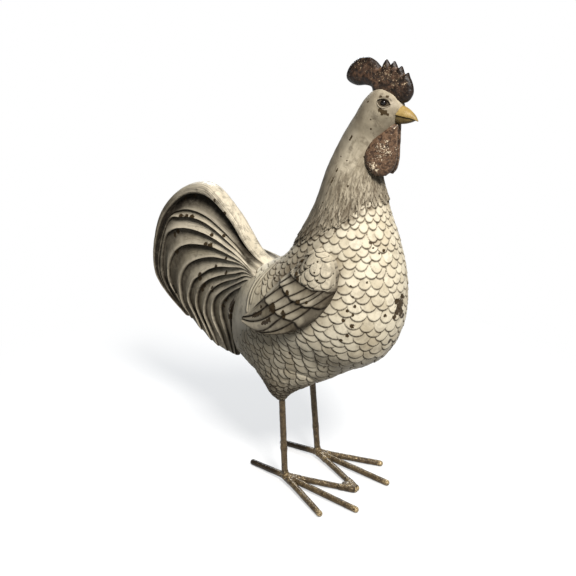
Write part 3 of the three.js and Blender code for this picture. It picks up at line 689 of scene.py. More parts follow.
body_turns = circle(200)[None]
body_stations = mix(fringe(body_turns) - UNDER_NECK, VENT, np.linspace(0, 1, 150)[:, None])
under_neck = ease(0.1, 0.5, fringe(body_turns) - body_stations)
skins = [closed_rings(skin(body_turns, body_stations, -NECK_INSET * under_neck))]
thigh_heights = np.linspace(THIGH_RINGS[0, 0], THIGH_RINGS[-1, 0], 60)[:, None]
for side in (-1, 1):
    skins.append(closed_rings(thigh_ring(side, thigh_heights, circle(90)[None])))
body_points, body_faces = remeshed(skins, 1.0)
print("body skin:", len(body_points), "points")

# %% Filling the creases
FILLET = 26.0
CREASE_TOP = 92
low_part = np.flatnonzero(body_points[:, 2] < CREASE_TOP + 20)
for _ in range(3):
    here = body_points[low_part]
    trunk = off_body(here)
    push = np.zeros(len(here))
    for side in (-1, 1):
        thigh = off_thigh(here, side)
        soft = np.maximum(FILLET - np.abs(trunk - thigh), 0) / FILLET * (here[:, 2] < CREASE_TOP)
        push = np.maximum(push, soft ** 2 * FILLET / 4 - np.maximum(np.minimum(trunk, thigh), 0))
    push = np.clip(push, 0, 2.5) * ease(6, 22, here[:, 2])
    up = point_normals(body_points, body_faces)
    body_points[low_part] += up[low_part] * push[:, None]
near_crease = np.zeros(len(body_points))
for side in (-1, 1):
    close = np.hypot(off_body(body_points), off_thigh(body_points, side))
    near_crease = np.maximum(near_crease, swell(close, 14) * ease(8, 16, body_points[:, 2]))
body_points = relaxed(body_points, body_faces, 0.04 + 0.5 * near_crease, 70)
body_up = point_normals(body_points, body_faces)
print("creases smoothed over", int((near_crease > 0.3).sum()), "points")

# %% [markdown]
# The body's feathers run in rows from the fringe to the vent. The rows are a steady step apart
# along the flank, so they draw together on the back, as on the photographed bird, and the relief
# fades on the belly and stops on the smooth place between tail and wing. Two long coverts curve
# down between the tail's root and the wing, and a few small feathers stand under the wing's tip.

# %% Steps and directions on the skin
NUDGE = 0.05


def arc_steps(turn, first, last, spacing):
    """Stations from first to last, a spacing apart along the skin at one turn."""
    fine = np.linspace(first, last, 800)
    arc = np.concatenate([[0], np.cumsum(np.linalg.norm(np.diff(skin(turn, fine), axis=0), axis=1))])
    stations, here = [], 0.0
    while here < arc[-1]:
        stations.append(np.interp(here, arc, fine))
        here += spacing(stations[-1])
    return np.array(stations)


def skin_frame(turn, at):
    """Root, downward direction and outward direction on the body's skin."""
    root = skin(turn, at)
    down = skin(turn, at + NUDGE) - root
    up = np.cross(down, skin(turn + 0.01, at) - root)
    middle = along(BODY_OVALS, at)
    inner = np.stack([(middle[:, 0] + middle[:, 2]) / 2, 0 * at, (middle[:, 1] + middle[:, 3]) / 2], -1)
    up *= np.sign(np.einsum("ij,ij->i", up, root - inner))[:, None]
    return root, down, up

# %% Feathers of the breast and belly
# Each table gives stations and, below them, the steps, the counts or the heights at them
ROW_STEPS = [[6, 7.5, 9, 11, 12.5, 14, 17], [7.6, 8.2, 9.4, 9.9, 9.2, 6.8, 5.8]]
ROW_COUNTS = [[7.5, 8.2, 10, 12, 14, 17], [27, 29, 30, 31, 35, 34]]
ROW_LIFTS = [[7, 10, 12, 14, 17], [1.7, 1.7, 1.35, 0.95, 0.6]]


def from_breast(turn):
    """How far round a turn is from the breast, the same on both sides."""
    return np.abs((turn + np.pi) % (2 * np.pi) - np.pi)


def breast_bed():
    """Rows of broad feathers from the fringe to the vent."""
    rows = arc_steps(0.7, 6.2, 16.6, lambda station: np.interp(station, *ROW_STEPS))
    beds = []
    for index, station in enumerate(rows):
        count = int(np.interp(station, *ROW_COUNTS))
        turn = (np.arange(count) + 0.5 * (index % 2) + dice.normal(0, 0.11, count)) / count * 2 * np.pi
        at = station + dice.normal(0, 0.035, count)
        root, down, up = skin_frame(turn, at)
        gap = np.linalg.norm(skin(turn + 2 * np.pi / count, at) - root, axis=1)
        step = (rows[min(index + 1, len(rows) - 1)] - rows[max(index - 1, 0)]) / 2
        length = np.linalg.norm(down, axis=1) / NUDGE * step * 2.0
        length = length * dice.uniform(0.95, 1.07, count)
        half = gap * dice.uniform(0.56, 0.64, count)
        lift = np.interp(station, *ROW_LIFTS) * dice.uniform(0.86, 1.12, count)
        blunt = dice.uniform(0.50, 0.62, count)
        point = dice.uniform(1.9, 2.3, count)
        kept = ease(1.72, 1.95, from_breast(turn)) * ease(10.2, 10.8, station) < 0.5
        shape = (values[kept] for values in (root, down, up, length, half, lift, blunt, point))
        beds.append(bed_of(*shape))
    return join_beds(*beds)

# %% Feathers of the thighs and under the wing's tip
def thigh_bed(side):
    """Rings of short feathers down to the tip of a thigh."""
    beds = []
    for index, height in enumerate(np.arange(42.0, 10.0, -4.9)):
        count = int(np.interp(height, [8, 40], [9, 20]))
        turn = (np.arange(count) + 0.5 * (index % 2)) / count * 2 * np.pi + dice.normal(0, 0.08, count)
        heights = np.full(count, height) + dice.normal(0, 1.0, count)
        root = thigh_ring(side, heights, turn)
        down = thigh_ring(side, heights - 1.5, turn) - root
        up = root - np.stack([0 * turn - THIGH_BACK, 0 * turn + side * THIGH_SPACING, heights], -1)
        gap = np.linalg.norm(thigh_ring(side, heights, turn + 2 * np.pi / count) - root, axis=1)
        beds.append(bed_of(root, down, up, 10.5 * dice.uniform(0.85, 1.2, count), gap * 0.58,
                           0.7 * dice.uniform(0.8, 1.2, count), blunt=0.5))
    return join_beds(*beds)


def tip_feathers(side):
    """Three small upright feathers under the wing's tip."""
    turn = side * np.array([-1.86, -1.78, -1.70])
    tip_turn = side * np.array([-1.84, -1.74, -1.66])
    root, _, up = skin_frame(turn, np.array([12.25, 12.2, 12.2]))
    flow = skin(tip_turn, np.array([13.3, 13.2, 13.1])) - root
    return bed_of(root, flow, up, np.linalg.norm(flow, axis=1), 3.8, 1.2, blunt=0.5, point=1.5)

# %% The coverts
COVERTS = [
    [[2.75, 9.3], [2.64, 9.9], [2.51, 10.5], [2.37, 11.1], [2.21, 11.75], [2.07, 12.25]],
    [[2.66, 9.55], [2.56, 9.97], [2.44, 10.45], [2.31, 11.0], [2.16, 11.6]],
]


def covert_ridges(points):
    """Long thin coverts that curve from the tail's root to the wing's tip, as ridges and cuts."""
    ridge, cut = np.zeros(len(points)), np.zeros(len(points))
    nearest = np.full(len(points), 99.0)
    near = np.flatnonzero((points[:, 2] > 95) & (points[:, 0] < 10))
    for side in (-1, 1):
        for curve in COVERTS:
            turn, at = along(curve, np.linspace(0, len(curve) - 1, 70)).T
            path = skin(-side * turn, at)
            gap = np.sqrt(((points[near, None] - path[None]) ** 2).sum(2).min(1))
            nearest[near] = np.minimum(nearest[near], gap)
            ridge[near] = np.maximum(ridge[near], swell(gap, 1.5))
            cut[near] = np.maximum(cut[near], swell(gap - 2.9, 0.8))
    return ridge, cut, ease(6, 3, nearest)


body_bed = join_beds(breast_bed(), thigh_bed(-1), thigh_bed(1), tip_feathers(-1), tip_feathers(1))
print("feathers on the body:", len(body_bed["lift"]))

# %% Carving the body
def dents(points, size, depth):
    """Soft uneven places of a hand-made skin."""
    return depth * np.array([noise.noise(place) for place in (points / size).tolist()])


thickness, line, number = lay_feathers(body_points, body_bed)
mean_lift = np.where(number >= 0, body_bed["lift"][number], 0.6)
covert, covert_cut, covert_bed = covert_ridges(body_points)
level = 0.7 * mean_lift
raised = mix(thickness, level, covert_bed) - level + 0.8 * covert + dents(body_points, 11, 0.35)
raised = raised + dents(body_points, 3.6, 0.45) * ease(75, 35, body_points[:, 2])
body_carved = body_points + body_up * raised[:, None]
body_marks = ridges_and_hollows(body_carved, body_faces)
chance = dice.uniform(0, 1, len(body_bed["lift"]))
body_marks["line"] = np.maximum(line * (1 - covert_bed), 0.8 * covert_cut * (1 - covert))
body_marks["ridge"] = body_marks["ridge"] * (1 - 0.7 * covert_bed)
body_marks["tone"] = np.where(number >= 0, chance[number], 0.5)

# %% [markdown]
# Painted shade darkens the body under the fringe of the neck, round the wing, on the upper back,
# and low on the belly and the thighs. The paint has chipped where things knock against the bird,
# most of all on the breast. Both could be painted on the mesh by hand. Here each place of shade
# is a distance or a height on the body, and the chips stand in one table of places, so that both
# are easy to move. The curves of the wing's edges are needed here for the first time.

# %% Painted shade on the body
def add_wash_and_shade(marks, shade, kept=1.0):
    """A part of the wash that the hollows hold, and the given painted shade on top."""
    marks["hollow"] = np.clip(marks["hollow"] * kept + shade, 0, 1)


WING_UPPER = np.array([
    [61, 219], [44, 209], [26, 188], [12, 174], [-6, 154], [-22, 136], [-35, 123], [-48, 113],
], float)
WING_LOWER = np.array([
    [78, 212], [86, 201], [88, 178], [76, 151], [56, 131], [27, 115], [-10, 106], [-46, 108],
], float)
wing_rim = np.concatenate([along(WING_UPPER, np.linspace(0, 7, 50)),
                           along(WING_LOWER, np.linspace(7, 0, 60))])
rim_gap = np.sqrt(((body_points[:, None, [0, 2]] - wing_rim[None]) ** 2).sum(2).min(1))
body_stations_here = station_of(body_points[:, 0], body_points[:, 2])
body_place = skin(0 * body_stations_here, body_stations_here)
facing_back = np.clip((body_place[:, 0] - body_points[:, 0]) / 150, 0, 1)
# Painted shade round the wing, low towards the vent, on the upper back but not on the bare flank between tail
# and wing, low on the thighs, and under the fringe of the neck.
shade = 0.6 * swell(rim_gap, 6)
shade = shade + 0.4 * ease(11.2, 14, body_stations_here) * (1 - 0.8 * ease(0.5, 0.75, facing_back))
shade = shade + 0.55 * ease(0.45, 0.85, facing_back) * ease(10.8, 9.3, body_stations_here)
shade = shade * (1 - 0.9 * ease(0.42, 0.6, facing_back) * ease(9.8, 10.5, body_stations_here))
shade = shade + 0.35 * ease(55, 15, body_points[:, 2])
row, span, reach = oval_reach(body_points[:, 0], body_points[:, 2])
forward = np.sign(body_points[:, 0] - (row[:, 0] + row[:, 2]) / 2)
body_turns_here = np.arctan2(np.abs(body_points[:, 1]) / row[:, 4], forward * reach)
below_fringe = body_stations_here - fringe(body_turns_here)
shade = shade + swell(below_fringe, 0.16) * (0.75 + dents(body_points, 4, 0.9))
add_wash_and_shade(body_marks, shade)
print("share of the body in the wash:", round(float((body_marks["hollow"] > 0.5).mean()), 2))

# %% Chips on the body
BODY_CHIPS = np.array([
    [9.40, 0.03, 6.5], [9.56, 0.10, 5.5], [9.66, 0.17, 3.5], [9.25, -0.03, 4], [9.60, 0.37, 2.6],
    [7.67, 0.62, 2.4], [7.81, 0.58, 1.6], [7.91, 0.35, 2.2], [7.97, 0.46, 1.6], [8.75, 0.72, 1.8],
    [8.88, 0.97, 1.5], [9.17, 0.92, 1.6], [9.40, 0.87, 2.4], [9.54, 0.96, 2.4], [9.62, 0.87, 2.0],
    [9.82, 0.98, 2.4], [9.92, 0.85, 2.6], [10.23, 0.86, 2.6], [10.41, 0.91, 2.8], [10.34, 0.14, 3.4],
    [12.2, 1.13, 3.2], [12.9, 0.98, 4.0], [12.7, 0.92, 3.0], [12.0, 1.2, 2.2], [13.1, 1.05, 2.4],
    [11.8, 0.72, 2.4], [9.4, 2.3, 2.2], [9.7, 2.25, 2.0], [9.1, 2.4, 2.0],
])


def spots(points, places, sizes):
    """A mark that is 1 at the given places and fades out over their sizes."""
    mark = np.zeros(len(points))
    for place, size in zip(places, sizes):
        mark = np.maximum(mark, np.exp(-((points - place) ** 2).sum(1) / size ** 2))
    return mark


def skin_chips(points, table, shift):
    """Chips at the table's stations and turns, and again on the left side, a little shifted."""
    table = np.concatenate([table, table * [1, -1, 1] + shift])
    return spots(points, skin(table[:, 1], table[:, 0]), table[:, 2])


body_marks["spot"] = skin_chips(body_points, BODY_CHIPS, [0.07, 0.1, 0])
print("chips on the body:", 2 * len(BODY_CHIPS))

# %% [markdown]
# The real shell is moulded in two halves that are bonded on the middle plane. Each half could be
# modelled alone, but then the feathers would not meet at the seam. So the whole skin is carved
# first and cut afterwards, and each half gets a flat wall where it was cut.

# %% Two halves
def half_of(points, faces, side, marks):
    """The half of a closed skin on one side of the middle plane, closed by a flat wall."""
    mesh = bpy.data.meshes.new("half")
    mesh.from_pydata(points.tolist(), [], faces.tolist())
    for mark, values in marks.items():
        mesh.attributes.new(mark, "FLOAT", "POINT").data.foreach_set("value", values.astype(np.float32))
    work = bmesh.new()
    work.from_mesh(mesh)
    bmesh.ops.bisect_plane(work, geom=work.verts[:] + work.edges[:] + work.faces[:], dist=1e-4,
                           plane_co=(0, 0, 0), plane_no=(0, side, 0), clear_inner=True)
    bmesh.ops.contextual_create(work, geom=[edge for edge in work.edges if edge.is_boundary])
    work.to_mesh(mesh)
    work.free()
    found = np.empty(len(mesh.vertices) * 3, np.float32)
    mesh.vertices.foreach_get("co", found)
    kept = {}
    for mark in marks:
        kept[mark] = np.empty(len(mesh.vertices), np.float32)
        mesh.attributes[mark].data.foreach_get("value", kept[mark])
    out_faces = [tuple(face.vertices) for face in mesh.polygons]
    bpy.data.meshes.remove(mesh)
    return found.reshape(-1, 3).astype(float), out_faces, kept


for side, word in ((1, "left"), (-1, "right")):
    half_points, half_faces, half_marks = half_of(body_carved, body_faces, side, body_marks)
    piece = make_piece(f"carved_body_{word}", half_points, half_faces, "breast_cream", "cream_paint",
                       [f"body_shell_{word}"], half_marks)
    for polygon in piece.data.polygons:
        if len(polygon.vertices) > 8:
            polygon.use_smooth = False

# %% [markdown]
# The neck and head are one casting that slips over the body like a sock. Its lower edge is a
# ragged fringe of thin pointed hackle feathers in many rows. The skin is an even grid that dips
# under the body's skin past the fringe, so that only the feather tips show there. Up the neck the
# feathers fade to fine lines, and on the head the eyelids and the brow are pressed out.

# %% The hackle feathers
NECK_COLUMNS, NECK_ROWS = ((370, 266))
LIP = 0.6


def hackle_bed():
    """Rows of thin pointed feathers, the lowest at the fringe and each row fainter than the last."""
    beds = []
    for index, reach in enumerate(np.arange(0.03, -1.9, -0.15)):
        count = 52 - index
        turn = (np.arange(count) + 0.5 * (index % 2)) / count * 2 * np.pi + dice.normal(0, 0.025, count)
        tip = fringe(turn) + reach + dice.normal(0, 0.05, count)
        here = skin(turn, tip, LIP)
        upwards = skin(turn, tip - NUDGE, LIP) - here
        length = dice.uniform(15, 26, count)
        lean = 0.16 * np.sin(turn) + dice.normal(0, 0.05, count)
        root = skin(turn - lean, tip - length / (np.linalg.norm(upwards, axis=1) / NUDGE), LIP)
        up = np.cross(skin(turn + 0.01, tip, LIP) - here, upwards)
        up *= np.sign((up[:, 1] * here[:, 1] + up[:, 0] * (here[:, 0] - 70)))[:, None]
        gap = np.linalg.norm(skin(turn + 2 * np.pi / count, tip, LIP) - here, axis=1)
        half = gap * dice.uniform(0.40, 0.72, count)
        fade = np.interp(index, [0, 2, 5, 8, 12], [1, 0.9, 0.5, 0.2, 0.05])
        lift = 1.9 * fade * dice.uniform(0.5, 1.2, count)
        blunt = dice.uniform(0.6, 0.9, count)
        beds.append(bed_of(root, here - root, up, length, half, lift, blunt, point=1.3))
    return join_beds(*beds)


neck_turns = circle(NECK_COLUMNS)[None]
neck_stations = mix(fringe(neck_turns) + 0.5, 0.0, np.linspace(0, 1, NECK_ROWS)[:, None])
above_fringe = fringe(neck_turns) - neck_stations
flare = LIP * (1 - ease(0.3, 2, above_fringe))
neck_skin = listed(skin(neck_turns, neck_stations, flare))
hackles = hackle_bed()
thickness, line, number = lay_feathers(neck_skin, hackles, near=16, soft=0.8)
covered = (number >= 0) | (above_fringe.ravel() > 0.15)
rise = np.where(number >= 0, thickness, 0) - 3.4 * ease(0.18, -0.05, above_fringe).ravel() * ~covered
print("hackle feathers:", len(hackles["lift"]))

# %% Eyelids, brow and cheek
EYE = np.array([110.3, 370.8])


def face_press(points):
    """How far the carver pressed the face out or in, the lines of the lids and the painted shade round them.
    """
    x, z = points[:, 0] - EYE[0], points[:, 2] - EYE[1]
    along_eye = x * 0.96 - z * 0.28
    across_eye = x * 0.28 + z * 0.96
    flat = (np.abs(points[:, 1]) > 6) * 1.0
    open_eye = 3.3 * (1 - np.clip(np.abs(along_eye) / 7.4, 0, 1) ** 2)
    ring = np.where(np.abs(along_eye) < 7.3, np.abs(across_eye) / np.maximum(open_eye, 0.5), 9)
    lids = 1.1 * swell(ring - 1.35, 0.28) * (np.abs(along_eye) < 7.2)
    socket = -1.5 * ease(1.0, 0.6, ring)
    brow = 1.3 * np.exp(-(((across_eye - 7.4) / 2.4) ** 2 + ((along_eye + 1) / 9) ** 2))
    cheek = 1.3 * np.exp(-(((across_eye + 11) / 6.5) ** 2 + ((along_eye - 1) / 8) ** 2))
    crease = across_eye - 5.0 + 0.05 * along_eye ** 2
    lines = ease(1.22, 1.02, ring) + 0.6 * swell(crease, 0.7) * ease(7.5, 5, np.abs(along_eye))
    # Painted shade in the eye's socket and round it.
    round_eye = np.hypot(along_eye / 12, across_eye / 7)
    shade = 0.75 * swell(ring - 1.1, 0.35) + 0.4 * swell(round_eye - 0.9, 0.4)
    return flat * (lids + socket + brow + cheek), flat * np.clip(lines, 0, 1), flat * np.clip(shade, 0, 1)


pressed, eye_lines, eye_shade = face_press(neck_skin)
rise = rise + pressed + dents(neck_skin, 8, 0.3) * ease(0.2, 1.5, above_fringe).ravel()
neck_carved = skin(neck_turns, neck_stations, flare + rise.reshape(neck_stations.shape))
neck_points, neck_faces = closed_rings(neck_carved)
print("neck and head:", len(neck_points), "points")

# %% Marks of the neck
grid_faces = ring_faces(NECK_ROWS, NECK_COLUMNS)
marks = ridges_and_hollows(listed(neck_carved), grid_faces, height=0.3, depth=0.7)
high = above_fringe.ravel()
# Darker at the fringe and on the lower neck; painted shade on the back of the neck and round the eye, and a
# painted shadow of the beak and the wattles on the throat.
neck_shade = 0.5 * swell(high, 0.5) + 0.12 * ease(2.2, 0.4, high)
neck_shade = neck_shade + 0.55 * ease(1.5, 2.1, from_breast(neck_turns) + 0 * neck_stations).ravel()
throat = (neck_skin - [112, 0, 322]) / [15, 24, 30]
neck_shade = neck_shade + 0.9 * np.exp(-(throat ** 2).sum(1)) + 0.8 * eye_shade
add_wash_and_shade(marks, neck_shade, 0.8)
fainter = np.interp(high, [0, 0.4, 0.9, 1.5, 2.0], [1, 0.8, 0.45, 0.15, 0.0])
marks["line"] = np.maximum(line * fainter, eye_lines)
chance = dice.uniform(0, 1, len(hackles["lift"]))
marks["tone"] = np.where(number >= 0, chance[number], 0.5)
marks["furry"] = mix(0.12, 1, ease(2.0, 0.5, high))
around = np.broadcast_to(neck_turns * 27, neck_stations.shape)
marks["lay"] = listed(np.stack([around, neck_stations * 36, 0 * around], -1))
NECK_CHIPS = np.array([
    [4.08, 1.83, 1.5], [4.17, 1.83, 1.5], [4.26, 1.83, 1.5], [5.66, 1.74, 1.1], [5.72, 1.745, 1.3],
    [5.78, 1.75, 1.1], [6.05, 1.80, 1.2], [6.12, 1.81, 1.5], [6.19, 1.825, 1.4], [6.26, 1.84, 1.1],
    [6.5, 1.91, 1.2], [6.55, 1.92, 1.1], [6.76, 1.97, 1.2], [5.1, 1.86, 1.1], [6.19, 1.19, 1.5],
    [1.0, 1.42, 1.7], [0.88, 0.96, 1.7], [2.16, 1.27, 2.9], [2.24, 1.13, 3.0], [2.30, 1.0, 3.0],
    [2.42, 1.08, 2.2], [2.42, 0.84, 1.7], [1.79, 2.08, 1.6], [2.82, 1.43, 1.1], [5.2, 1.5, 1.2],
    [3.4, 1.2, 1.1], [4.9, 0.9, 1.1], [5.5, 0.6, 1.1],
])
marks["spot"] = skin_chips(neck_skin, NECK_CHIPS, [0.1, 0.05, 0])
make_piece("carved_neck_and_head", neck_points, neck_faces, "hackle_cream", "cream_paint",
           ["neck_and_head"], marks)

# %% [markdown]
# The tail is a fan of sickle feathers, carved in steps on both sides. Guide lines run from the
# root to the tip, and the lower edge of every feather is a curve across them, so the grid of the
# skin follows the edges. Each feather rises towards its lower edge and drops to the next one. The
# top sickle is round, with a deep undercut below it.

# %% Tail tables
TAIL_GUIDES = np.array([
    [[-38, 159], [-70, 179], [-103, 219], [-145, 250], [-194, 237], [-237, 189], [-248, 111], [-190, 60]],
    [[-39, 157], [-75, 175], [-111, 211], [-150, 232], [-190, 223], [-226, 181], [-237, 113], [-189, 60]],
    [[-40, 156], [-76, 172], [-111, 189], [-150, 203], [-189, 202], [-219, 178], [-228, 115], [-187, 59]],
    [[-40, 155], [-71, 167], [-106, 172], [-146, 174], [-183, 165], [-211, 143], [-218, 100], [-183, 57]],
    [[-40, 154], [-68, 160], [-98, 156], [-129, 147], [-155, 132], [-173, 111], [-180, 80], [-169, 47]],
    [[-40, 152], [-62, 151], [-86, 143], [-108, 132], [-129, 117], [-145, 97], [-151, 68], [-141, 31]],
    [[-46, 143], [-58, 136], [-71, 126], [-84, 114], [-94, 101], [-102, 85], [-106, 60], [-104, 25]],
], float)
EDGE_LENGTHS = [0, 0.06, 0.25, 0.45, 0.6, 0.7, 0.78, 0.86, 0.93, 1]
FEATHER_EDGES = np.array([
    [0] * 10,
    [0.62, 0.67, 0.74, 0.84, 0.80, 0.62, 0.44, 0.25, 0.12, 0.06],
    [1.5, 1.62, 1.8, 1.75, 1.6, 1.05, 0.70, 0.40, 0.2, 0.12],
    [1.9, 2.1, 2.15, 2.05, 1.97, 1.4, 0.98, 0.60, 0.3, 0.2],
    [2.4, 2.6, 2.65, 2.55, 2.40, 2.22, 1.6, 0.95, 0.5, 0.3],
    [2.9, 3.0, 3.12, 3.08, 2.98, 2.96, 2.85, 2.75, 2.1, 1.5],
    [3.3, 3.3, 3.55, 3.56, 3.52, 3.5, 3.46, 3.45, 3.2, 2.9],
    [3.6, 3.65, 4.05, 4.02, 4.0, 3.9, 3.84, 3.80, 4.0, 4.1],
    [4.0, 4.1, 4.6, 4.54, 4.36, 4.27, 4.22, 4.28, 4.6, 4.75],
    [4.6, 4.6, 5.0, 4.96, 4.87, 4.82, 4.77, 4.78, 4.99, 5.12],
    [5.0, 5.04, 5.25, 5.26, 5.18, 5.13, 5.14, 5.22, 5.38, 5.5],
    [5.3, 5.34, 5.5, 5.47, 5.44, 5.42, 5.46, 5.56, 5.68, 5.76],
    [5.7, 5.75, 5.85, 5.84, 5.8, 5.79, 5.79, 5.84, 5.9, 5.93],
    [6.0] * 10,
])


def between_lines(lines, guide):
    """Points between guide lines, where lines is (guide line, place, axis)."""
    last = len(lines) - 1
    guide = np.clip(guide, 0, last)
    i = np.minimum(guide.astype(int), last - 1)
    t = (guide - i)[..., None]
    places = np.broadcast_to(np.arange(lines.shape[1])[:, None], guide.shape)
    rows = (lines[np.clip(i + step, 0, last), places] for step in (-1, 0, 1, 2))
    return curve_through(*rows, t)

# %% The grid of the tail
tail_lengths = np.linspace(0, 1, 230)
edges = along(FEATHER_EDGES.T, np.interp(tail_lengths, EDGE_LENGTHS, np.arange(10)))
edges = np.maximum.accumulate(edges, axis=1)
lines = np.stack([along(line, tail_lengths * (len(line) - 1)) for line in TAIL_GUIDES])
guides, across, feather = [], [], []
for k in range(len(FEATHER_EDGES) - 1):
    share = np.concatenate([[0, 0.03], np.linspace(0.09, 0.91, 20 if k == 0 else 9), [0.97, 1]])
    guides.append(mix(edges[:, k:k + 1], edges[:, k + 1:k + 2], share[None]))
    across.append(share)
    feather.append(np.full(len(share), k))
guides, across, feather = np.concatenate(guides, 1), np.concatenate(across)[None], np.concatenate(feather)
sickle, below_sickle = feather == 0, feather == 1
tail_place = between_lines(lines, guides)
edge_place = between_lines(lines, edges)
width = np.linalg.norm(np.diff(edge_place, axis=1), axis=2)[:, feather]
print("tail grid:", guides.shape)

# %% Carving the tail
def quarter_round(way, least=0.0):
    """The profile of a quarter circle, steep at 0 and level from 1 on."""
    return np.sqrt(np.clip(1 - (1 - np.clip(way, 0, 1)) ** 2, least, 1))


TAIL_ROOT, ROOT_SIZE = (-40, 147), 65
ROOT_THICKNESS, FAN_THICKNESS, END_THICKNESS = 26, 9, 5
DEEPEST_STEP, UNDERCUT = 5.6, 8.2
length = tail_lengths[:, None]
root_distance = np.hypot(tail_place[..., 0] - TAIL_ROOT[0], tail_place[..., 1] - TAIL_ROOT[1]) / ROOT_SIZE
root_swell = ROOT_THICKNESS * np.exp(-root_distance ** 2) * ease(0.5, 3.2, guides)
half = mix(FAN_THICKNESS + root_swell, END_THICKNESS, ease(0.6, 1, length))
fade = ease(0.02, 0.22, length)
rim = quarter_round(across / 0.62) * (1 - 0.25 * ease(0.8, 1, across) ** 2)
step = np.minimum(0.42 * width, DEEPEST_STEP)
shelf = across ** 2.1 - 0.72
carve = step * shelf * (1 - 0.12 * ease(0.86, 1, across)) * mix(0.35, 1, ease(1, 0.88, length))
second = -UNDERCUT * (1 - across) * ease(2, 9, width)
top = (half + 2.4) * rim
half = np.where(sickle, mix(half * rim, top, fade), half + np.where(below_sickle, second, carve) * fade)
half = np.maximum(half, 0.4)
half = half * quarter_round((6 - guides) / 0.1) + 0.3
half = half * quarter_round((1 - length) / 0.015, 0.02)
print("tail is up to", round(2 * float(half.max()), 1), "mm thick")

# %% The skin of the tail
def slab(front, back):
    """A closed skin from two sheets with the same rim."""
    rows, columns = front.shape[:2]
    points = np.concatenate([listed(front), listed(back)])
    far = rows * columns
    faces = [sheet_faces(rows, columns), far + sheet_faces(rows, columns)[:, ::-1]]
    rim = np.concatenate([np.arange(columns), np.arange(1, rows) * columns + columns - 1,
                          far - 2 - np.arange(columns - 1), np.arange(rows - 2, 0, -1) * columns])
    after = np.roll(rim, -1)
    faces.append(np.stack([after, rim, rim + far, after + far], -1))
    return points, np.concatenate(faces)


def both_sheets(marks):
    """The same marks for the front and the back of a slab."""
    return {mark: np.concatenate([values, values]) for mark, values in marks.items()}


near_side = np.stack([tail_place[..., 0], -half, tail_place[..., 1]], -1)
near_side[..., 1] -= dents(listed(near_side), 9, 0.3).reshape(half.shape) * fade
tail_points, tail_faces = slab(near_side, near_side * [1, -1, 1])
print("tail:", len(tail_points), "points")

# %% Marks of the tail
SICKLE_GROOVES = (0.2, 0.34, 0.5, 0.66)
marks = ridges_and_hollows(listed(near_side), sheet_faces(*near_side.shape[:2]), height=0.5, depth=1.4)
from_upper, from_lower = across * width, (1 - across) * width
low_in_fan = ease(3, 4.6, guides)
whole_length = length + 0 * across
# Painted shadow under each feather's rim, deepest and widest below the sickle.
reach = np.where(below_sickle, 24.0, np.maximum(mix(0.56, 0.36, low_in_fan) * width, 2.0))
under_rim = np.where(sickle, 0, swell(from_upper, reach, 1.3))
# A thin dark line under each rim; below the sickle it widens into a painted shadow.
line_and_shadow_width = np.where(below_sickle, 19 * ease(0.03, 0.3, length) * ease(0.95, 0.7, length), 1.8)
cut = np.where(sickle, 0, swell(from_upper, np.maximum(line_and_shadow_width, 1.2), 4)) * ease(0.02, 0.12, length)
# Painted shade on the sickle's inner wall.
wall = sickle * ease(0.9, 0.97, across) * ease(0.1, 0.3, length)
wavy = across - 0.02 * np.sin(length * 40)
grooves = sum(swell(wavy - middle, 0.022) for middle in SICKLE_GROOVES)
grooves = 0.7 * sickle * grooves * ease(0.06, 0.16, length) * ease(0.62, 0.42, length)
marks["line"] = np.clip(np.maximum(np.maximum(cut, wall), grooves), 0, 1).ravel()
# Painted shade at the lower ends, on the far left, on the sickle's far part and on the feather below it.
shade = 0.36 * ease(0.5, 0.8, whole_length) + 0.16 * ease(0.85, 1.0, whole_length)
shade = shade * (1 - 0.75 * ease(3.2, 4.8, guides)) + 0.5 * sickle * ease(0.38, 0.55, length)
shade = shade + 0.4 * ease(-180, -225, tail_place[..., 0]) + 0.4 * wall + 0.2 * below_sickle
shade = shade + mix(0.95, 0.8, low_in_fan) * under_rim * fade
add_wash_and_shade(marks, shade.ravel(), 0.5)
# A painted highlight along each feather's lower rim, laid into the ridge mark with the worn ridges.
lit_rim = swell(np.maximum(from_lower - 0.8, 0), np.clip(0.3 * width, 1.2, 3.0), 1.6)
lit_rim = lit_rim * (from_lower > 0.4) * (feather > 0) * mix(1, 0.6, ease(0.5, 0.85, length))
marks["ridge"] = np.clip(marks["ridge"] * 0.6 + lit_rim.ravel(), 0, 1)
marks["tone"] = np.broadcast_to((feather * 0.37) % 1, half.shape).ravel()
marks["lay"] = listed(np.stack([guides * 15, length * 280 + 0 * guides, 0 * guides], -1))
TAIL_CHIPS = np.array([
    [2.02, 0.50, 4], [2.04, 0.54, 4.4], [1.98, 0.58, 4], [2.5, 0.63, 4], [2.52, 0.66, 3.6], [3.03, 0.40, 4.4],
    [3.03, 0.43, 3.6], [3.06, 0.5, 3.4], [3.0, 0.68, 5], [3.5, 0.30, 3], [4.0, 0.42, 3.4], [4.0, 0.6, 4.6],
    [4.02, 0.64, 4.2], [4.36, 0.66, 4], [4.4, 0.70, 4], [4.5, 0.36, 3.4], [4.87, 0.6, 3.6], [4.88, 0.64, 3.4],
    [5.45, 0.62, 3.6], [5.45, 0.7, 3.4], [5.78, 0.52, 5], [5.78, 0.56, 6], [5.8, 0.62, 5], [5.8, 0.66, 5],
    [5.8, 0.74, 5.4], [1.0, 0.42, 2.8], [1.0, 0.5, 3.2], [1.0, 0.56, 3], [2.5, 0.38, 3], [2.05, 0.30, 2.6],
    [0.6, 0.30, 2.6], [0.55, 0.36, 2.4],
])
chip_rows = np.searchsorted(tail_lengths, TAIL_CHIPS[:, 1])
chip_columns = [np.abs(guides[row] - guide).argmin() for row, guide in zip(chip_rows, TAIL_CHIPS[:, 0])]
marks["spot"] = spots(listed(near_side), near_side[chip_rows, chip_columns], TAIL_CHIPS[:, 2])
